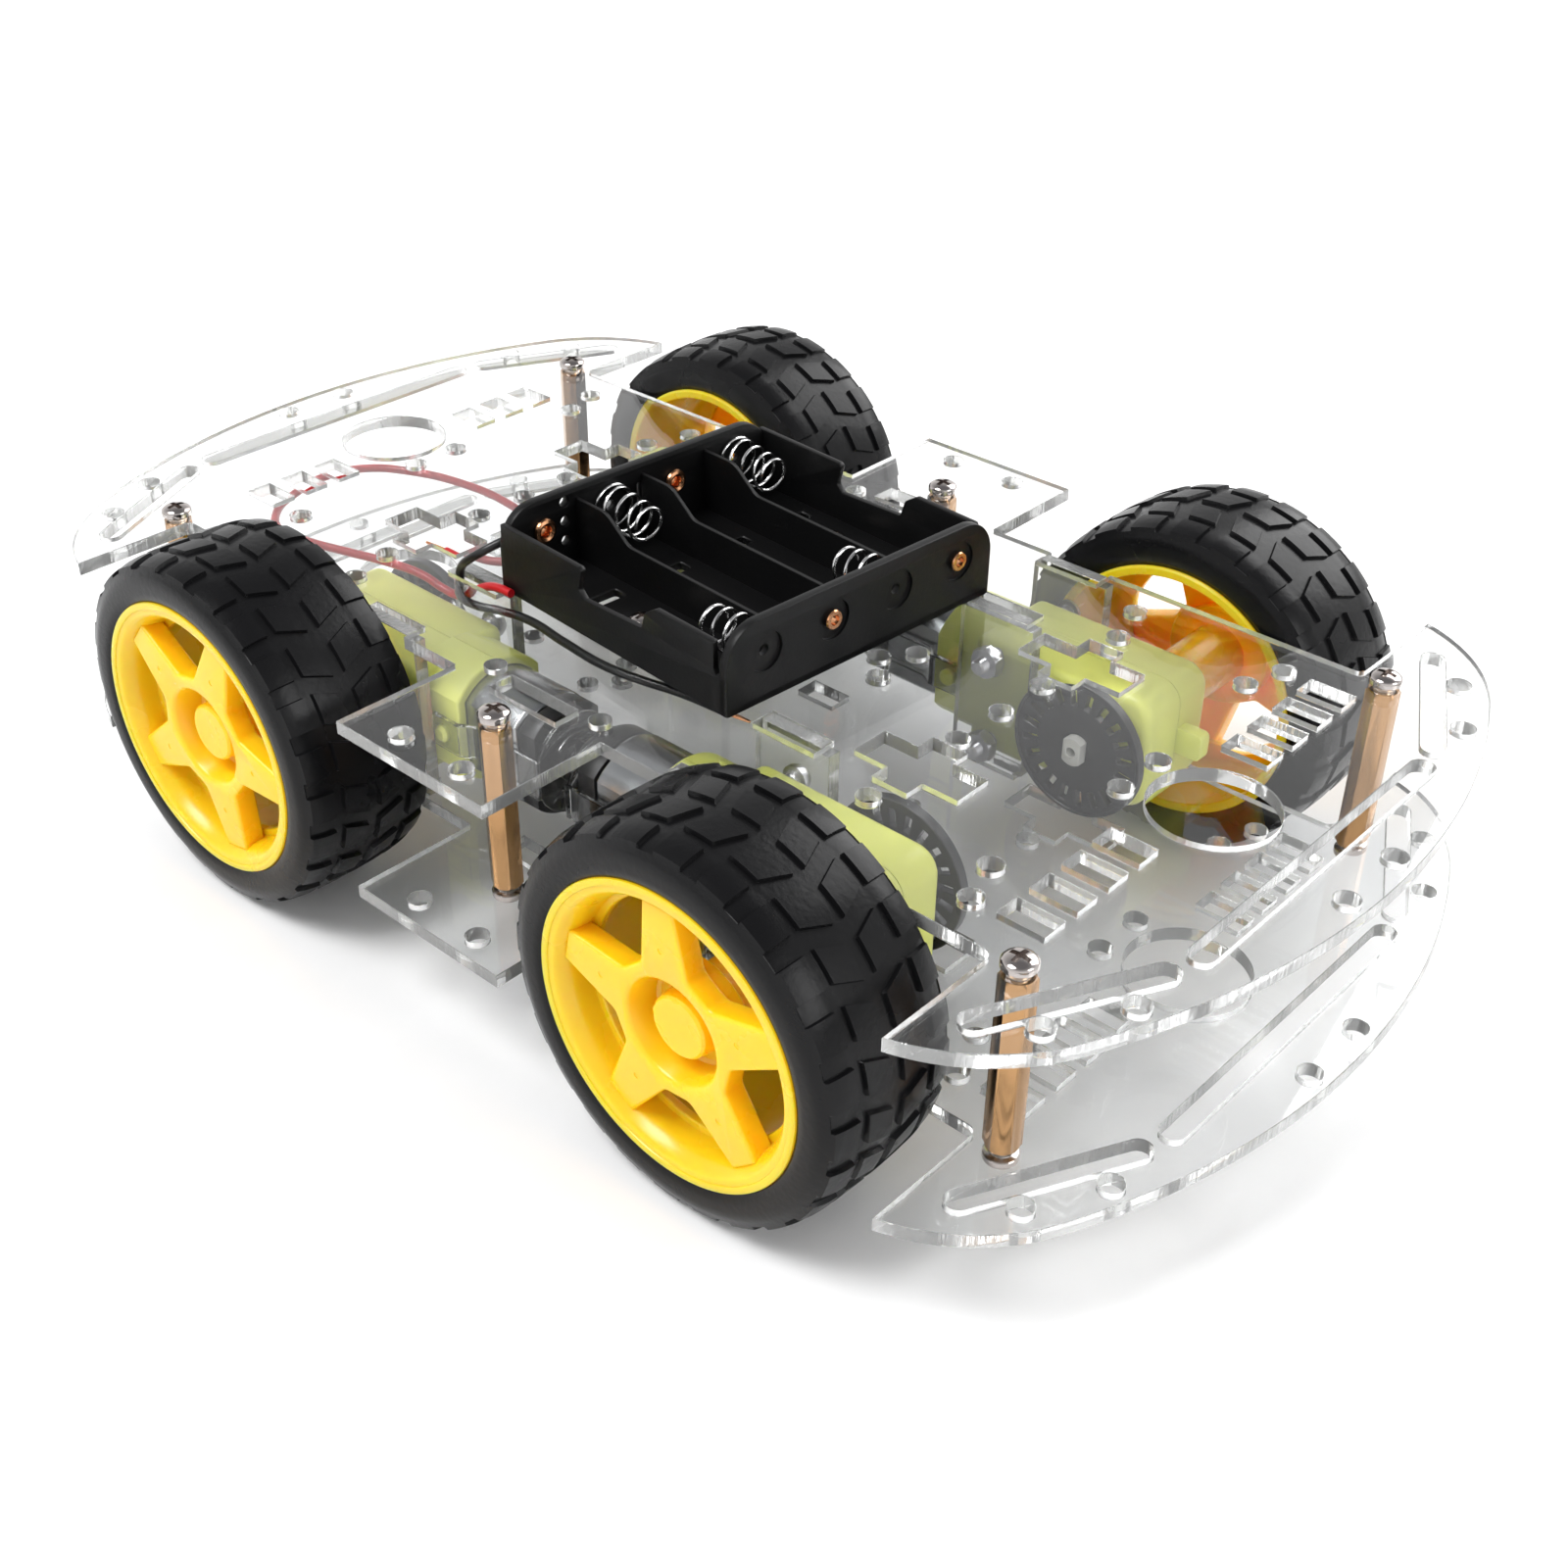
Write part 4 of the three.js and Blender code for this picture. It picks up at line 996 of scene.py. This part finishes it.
def tyre_stations():
    """Places across the tyre, as (distance from the middle, radius, whether a block stands there)."""
    ramp, steps = 0.22, 5
    stations = [(0, crown(0), False)]
    for start, end in BLOCK_ROWS:
        stations.append((start - ramp, crown(start), False))
        across = (start + (end - start) * k / steps for k in range(steps + 1))
        stations += [(distance, crown(distance), True) for distance in across]
        stations.append((end + ramp, crown(end + ramp), False))
    half = TYRE_HALF_WIDTH
    side = [(half - 0.42, 30.3), (half - 0.12, 29.6), (half, 28.6), (half, 27.2), (half - 0.12, 26.1),
            (half - 0.35, 25.75)]
    return stations + [(d, r, False) for d, r in side]


def tread_columns():
    """Places along one pitch, as (share of the pitch, whether a block stands there)."""
    ramp = 0.02
    block = 0.655
    inside = [(ramp + (block - 2 * ramp) * k / 6, True) for k in range(7)]
    return [(0, False), *inside, (block, False), (block + (1 - block) / 2, False)]


def tyre():
    """A hollow ring with two rows of chevron blocks and a row of lugs on each shoulder."""
    across = tyre_stations()
    stations = [(-d, r, up) for d, r, up in across[:0:-1]] + across
    bore = RIM_RADIUS - 0.42
    stations.append((TYRE_HALF_WIDTH - 0.9, bore, False))
    stations.insert(0, (-TYRE_HALF_WIDTH + 0.9, bore, False))
    verts, faces = [], []
    pitch = 2 * math.pi / TREAD_PITCHES
    columns = [(n + share, up) for n in range(TREAD_PITCHES) for share, up in tread_columns()]
    outer_end = BLOCK_ROWS[0][1]
    for turn, column_up in columns:
        for distance, radius, station_up in stations:
            lean = CHEVRON_LEAN * min(abs(distance) / outer_end, 1)
            angle = pitch * turn + lean
            on_tread = abs(distance) <= BLOCK_ROWS[-1][1] + 0.3
            depth = 0 if column_up and station_up or not on_tread else TREAD_DEPTH
            if on_tread and abs(distance) > BLOCK_ROWS[-1][1]:
                depth = TREAD_DEPTH * 0.75
            verts.append(((radius - depth) * math.cos(angle), (radius - depth) * math.sin(angle), distance))
    rows, count = len(columns), len(stations)
    for i in range(rows):
        for j in range(count):
            near, far = i * count, ((i + 1) % rows) * count
            faces.append((near + j, far + j, far + (j + 1) % count, near + (j + 1) % count))
    mesh = bpy.data.meshes.new("tyre")
    mesh.from_pydata(verts, [], faces)
    return welded(mesh)


def add_wheels(materials):
    rim, rubber = wheel_rim(), tyre()
    for corner in CORNERS:
        body = "wheel_" + corner
        matrix = wheel_matrix(corner)
        rim_place = matrix @ Matrix.Rotation(math.radians(SPOKE_TURN[corner]), 4, "Z")
        tyre_place = matrix @ Matrix.Rotation(TREAD_TURN, 4, "Z")
        piece(f"wheel_rim_{corner}_star", rim, rim_place, body, materials["rim"], "rim_yellow",
              "wheel_rim_" + corner)
        piece(f"tyre_{corner}_tread", rubber, tyre_place, body, materials["rubber"], "tyre_rubber",
              "tyre_" + corner)


# ---- battery holder, in its own frame: cells along X, bottom at z = 0 ----
HOLDER_LENGTH = 58.9
HOLDER_WIDTH = 62.4
HOLDER_HEIGHT = 15.5
HOLDER_CENTRE = (0.3, 0.85)
HOLDER_TURN = math.radians(-4.2)
END_WALL = 1.8
SIDE_WALL = 1.2
RIB = 0.7
HOLDER_FLOOR = 1.6
CELL_PITCH = (HOLDER_WIDTH - 2 * SIDE_WALL + 0.6) / 4
CELL_Z = 9.3
CELLS = [(i - 1.5) * CELL_PITCH for i in range(4)]


def holder_matrix():
    place = Matrix.Translation((*HOLDER_CENTRE, UPPER_TOP + 0.05))
    return place @ Matrix.Rotation(HOLDER_TURN, 4, "Z")


def end_wall(side):
    """An end wall with two rounded top corners, contact holes and shallow round recesses outside."""
    outline = rounded(rectangle(0, HOLDER_HEIGHT / 2, HOLDER_WIDTH, HOLDER_HEIGHT), [0.6, 0.6, 7, 7], 10)
    holes = [circle(y, CELL_Z, 1.0, 20) for y in CELLS]
    if side < 0:
        holes += [circle(-18, z, 0.95, 16) for z in (5.8, 9.6, 13.3)]
        holes.append(rounded(rectangle(-0.9, 9.4, 0.9, 4.4), 0.2, 2))
    outer = side * HOLDER_LENGTH / 2
    low, high = sorted((outer, outer - side * END_WALL))
    wall = x_plate(outline, low, high, holes, edge=0.25, steps=1)
    low, high = sorted((outer + side, outer - side * 0.55))
    recesses = [x_plate(circle(y, CELL_Z, 3.6, 40), low, high, edge=0.05) for y in CELLS]
    return boolean(wall, recesses, "DIFFERENCE")


def side_wall(side):
    """A side wall: high by the rear wall, stepped down in the middle, with a high lug before a slot."""
    rear, front = -HOLDER_LENGTH / 2 + 0.5, HOLDER_LENGTH / 2 - 0.5
    corners = [(rear, 0), (front, 0), (front, 7), (26.8, 7), (26.3, 8), (26.3, 12.9), (12.2, 12.9),
               (9.6, 11.2), (8.6, 8), (-6.2, 7.2), (-7.6, 8.6), (-6.6, 12.4), (-7.4, 12.9), (rear, 12.9)]
    radii = [0, 0, 0, 0.4, 0.4, 0.5, 1.0, 1.2, 0.8, 0.8, 0.8, 0.5, 0.5, 0]
    y = side * (HOLDER_WIDTH - SIDE_WALL) / 2
    return y_plate(rounded(corners, radii, 4), y - SIDE_WALL / 2, y + SIDE_WALL / 2, edge=0.2, steps=1)


def cell_rib(y):
    rear, front = -HOLDER_LENGTH / 2 + 0.8, HOLDER_LENGTH / 2 - 0.8
    corners = [(rear, 0), (front, 0), (front, 9), (-13.4, 9), (-19.4, 13.4), (rear, 13.4)]
    return y_plate(rounded(corners, [0, 0, 0, 4, 4, 0], 6), y - RIB / 2, y + RIB / 2, edge=0.12)


def holder_body():
    floor_slots = [rounded(rectangle(x, y, 3, 9), 0.5, 2) for y in CELLS for x in (-12.5, 12.5)]
    outline = rounded(rectangle(0, 0, HOLDER_LENGTH, HOLDER_WIDTH), 0.6, 3)
    floor = plate(outline, 0, HOLDER_FLOOR, floor_slots, edge=0.2)
    parts = [end_wall(1), end_wall(-1), side_wall(1), side_wall(-1)]
    parts += [cell_rib(i * CELL_PITCH) for i in (-1, 0, 1)]
    return boolean(floor, parts, "UNION")


def contact_spring():
    """A conical spring along +X: a close turn at its base, then open turns to a smaller tip."""
    turns, steps = 4.5, 28
    base_radius, taper, length = 4.1, 1.1, 9.8
    points = []
    for i in range(int(turns * steps) + 1):
        turn = i / steps
        share = max(0, turn - 0.8) / (turns - 0.8)
        radius = base_radius - taper * share
        reach = 0.45 + length * min(share * 1.14, 1) + 0.06 * turn
        angle = 2 * math.pi * turn
        points.append((reach, radius * math.cos(angle), radius * math.sin(angle)))
    return wire(points, 0.31, 3)


def contact_eyelet(length):
    """A rolled copper eyelet along +X, with its wide flange at x = 0."""
    profile = [(0.95, -length), (1.6, -length), (1.75, -length + 0.25), (1.45, -length + 0.45),
               (1.15, -length + 0.6), (1.15, -0.1), (2.1, -0.1), (2.35, 0.25), (2.2, 0.65), (1.7, 0.85),
               (1.2, 0.65), (0.95, 0.2)]
    eyelet = lathe(profile, 40)
    eyelet.transform(Matrix.Rotation(math.pi / 2, 4, "Y"))
    return eyelet


def add_holder(materials):
    matrix = holder_matrix()
    piece("battery_holder_moulding", holder_body(), matrix, "chassis", materials["holder"], "black_plastic",
          "battery_holder")
    contacts = [("eyelet", contact_eyelet(END_WALL + 0.35), "copper"),
                ("spring", contact_spring(), "spring")]
    inner = HOLDER_LENGTH / 2 - END_WALL
    for i, y in enumerate(CELLS):
        spring_end = 1 if i % 2 == 0 else -1
        for end, word in ((1, "front"), (-1, "rear")):
            facing = Matrix.Rotation(math.pi if end > 0 else 0, 4, "Z")
            at = matrix @ Matrix.Translation((end * inner, y, CELL_Z)) @ facing
            kind, mesh, look = contacts[end == spring_end]
            piece(f"{word}_contact_{kind}_{i + 1}", mesh, at, "chassis", materials[look], "brass")
    screw = pan_head(2.4, 1.7, 1.2, 4.4)
    for y, word in ((CELLS[0], "right"), (CELLS[3], "left")):
        piece(f"holder_screw_{word}", screw, matrix @ Matrix.Translation((-1.2, y, HOLDER_FLOOR)), "chassis",
              materials["nickel"], "brass")


# ---- assembly ----
def build():
    add_camera()
    materials = make_materials()
    add_lead("red_lead", RED_LEAD_ROUTE, materials["red"], materials)
    add_lead("black_lead", BLACK_LEAD_ROUTE, materials["black"], materials)
    add_studio()
    add_decks(materials)
    add_standoffs(materials)
    add_clamp_bolts(materials)
    add_gearmotors(materials)
    add_wheels(materials)
    add_holder(materials)


build()
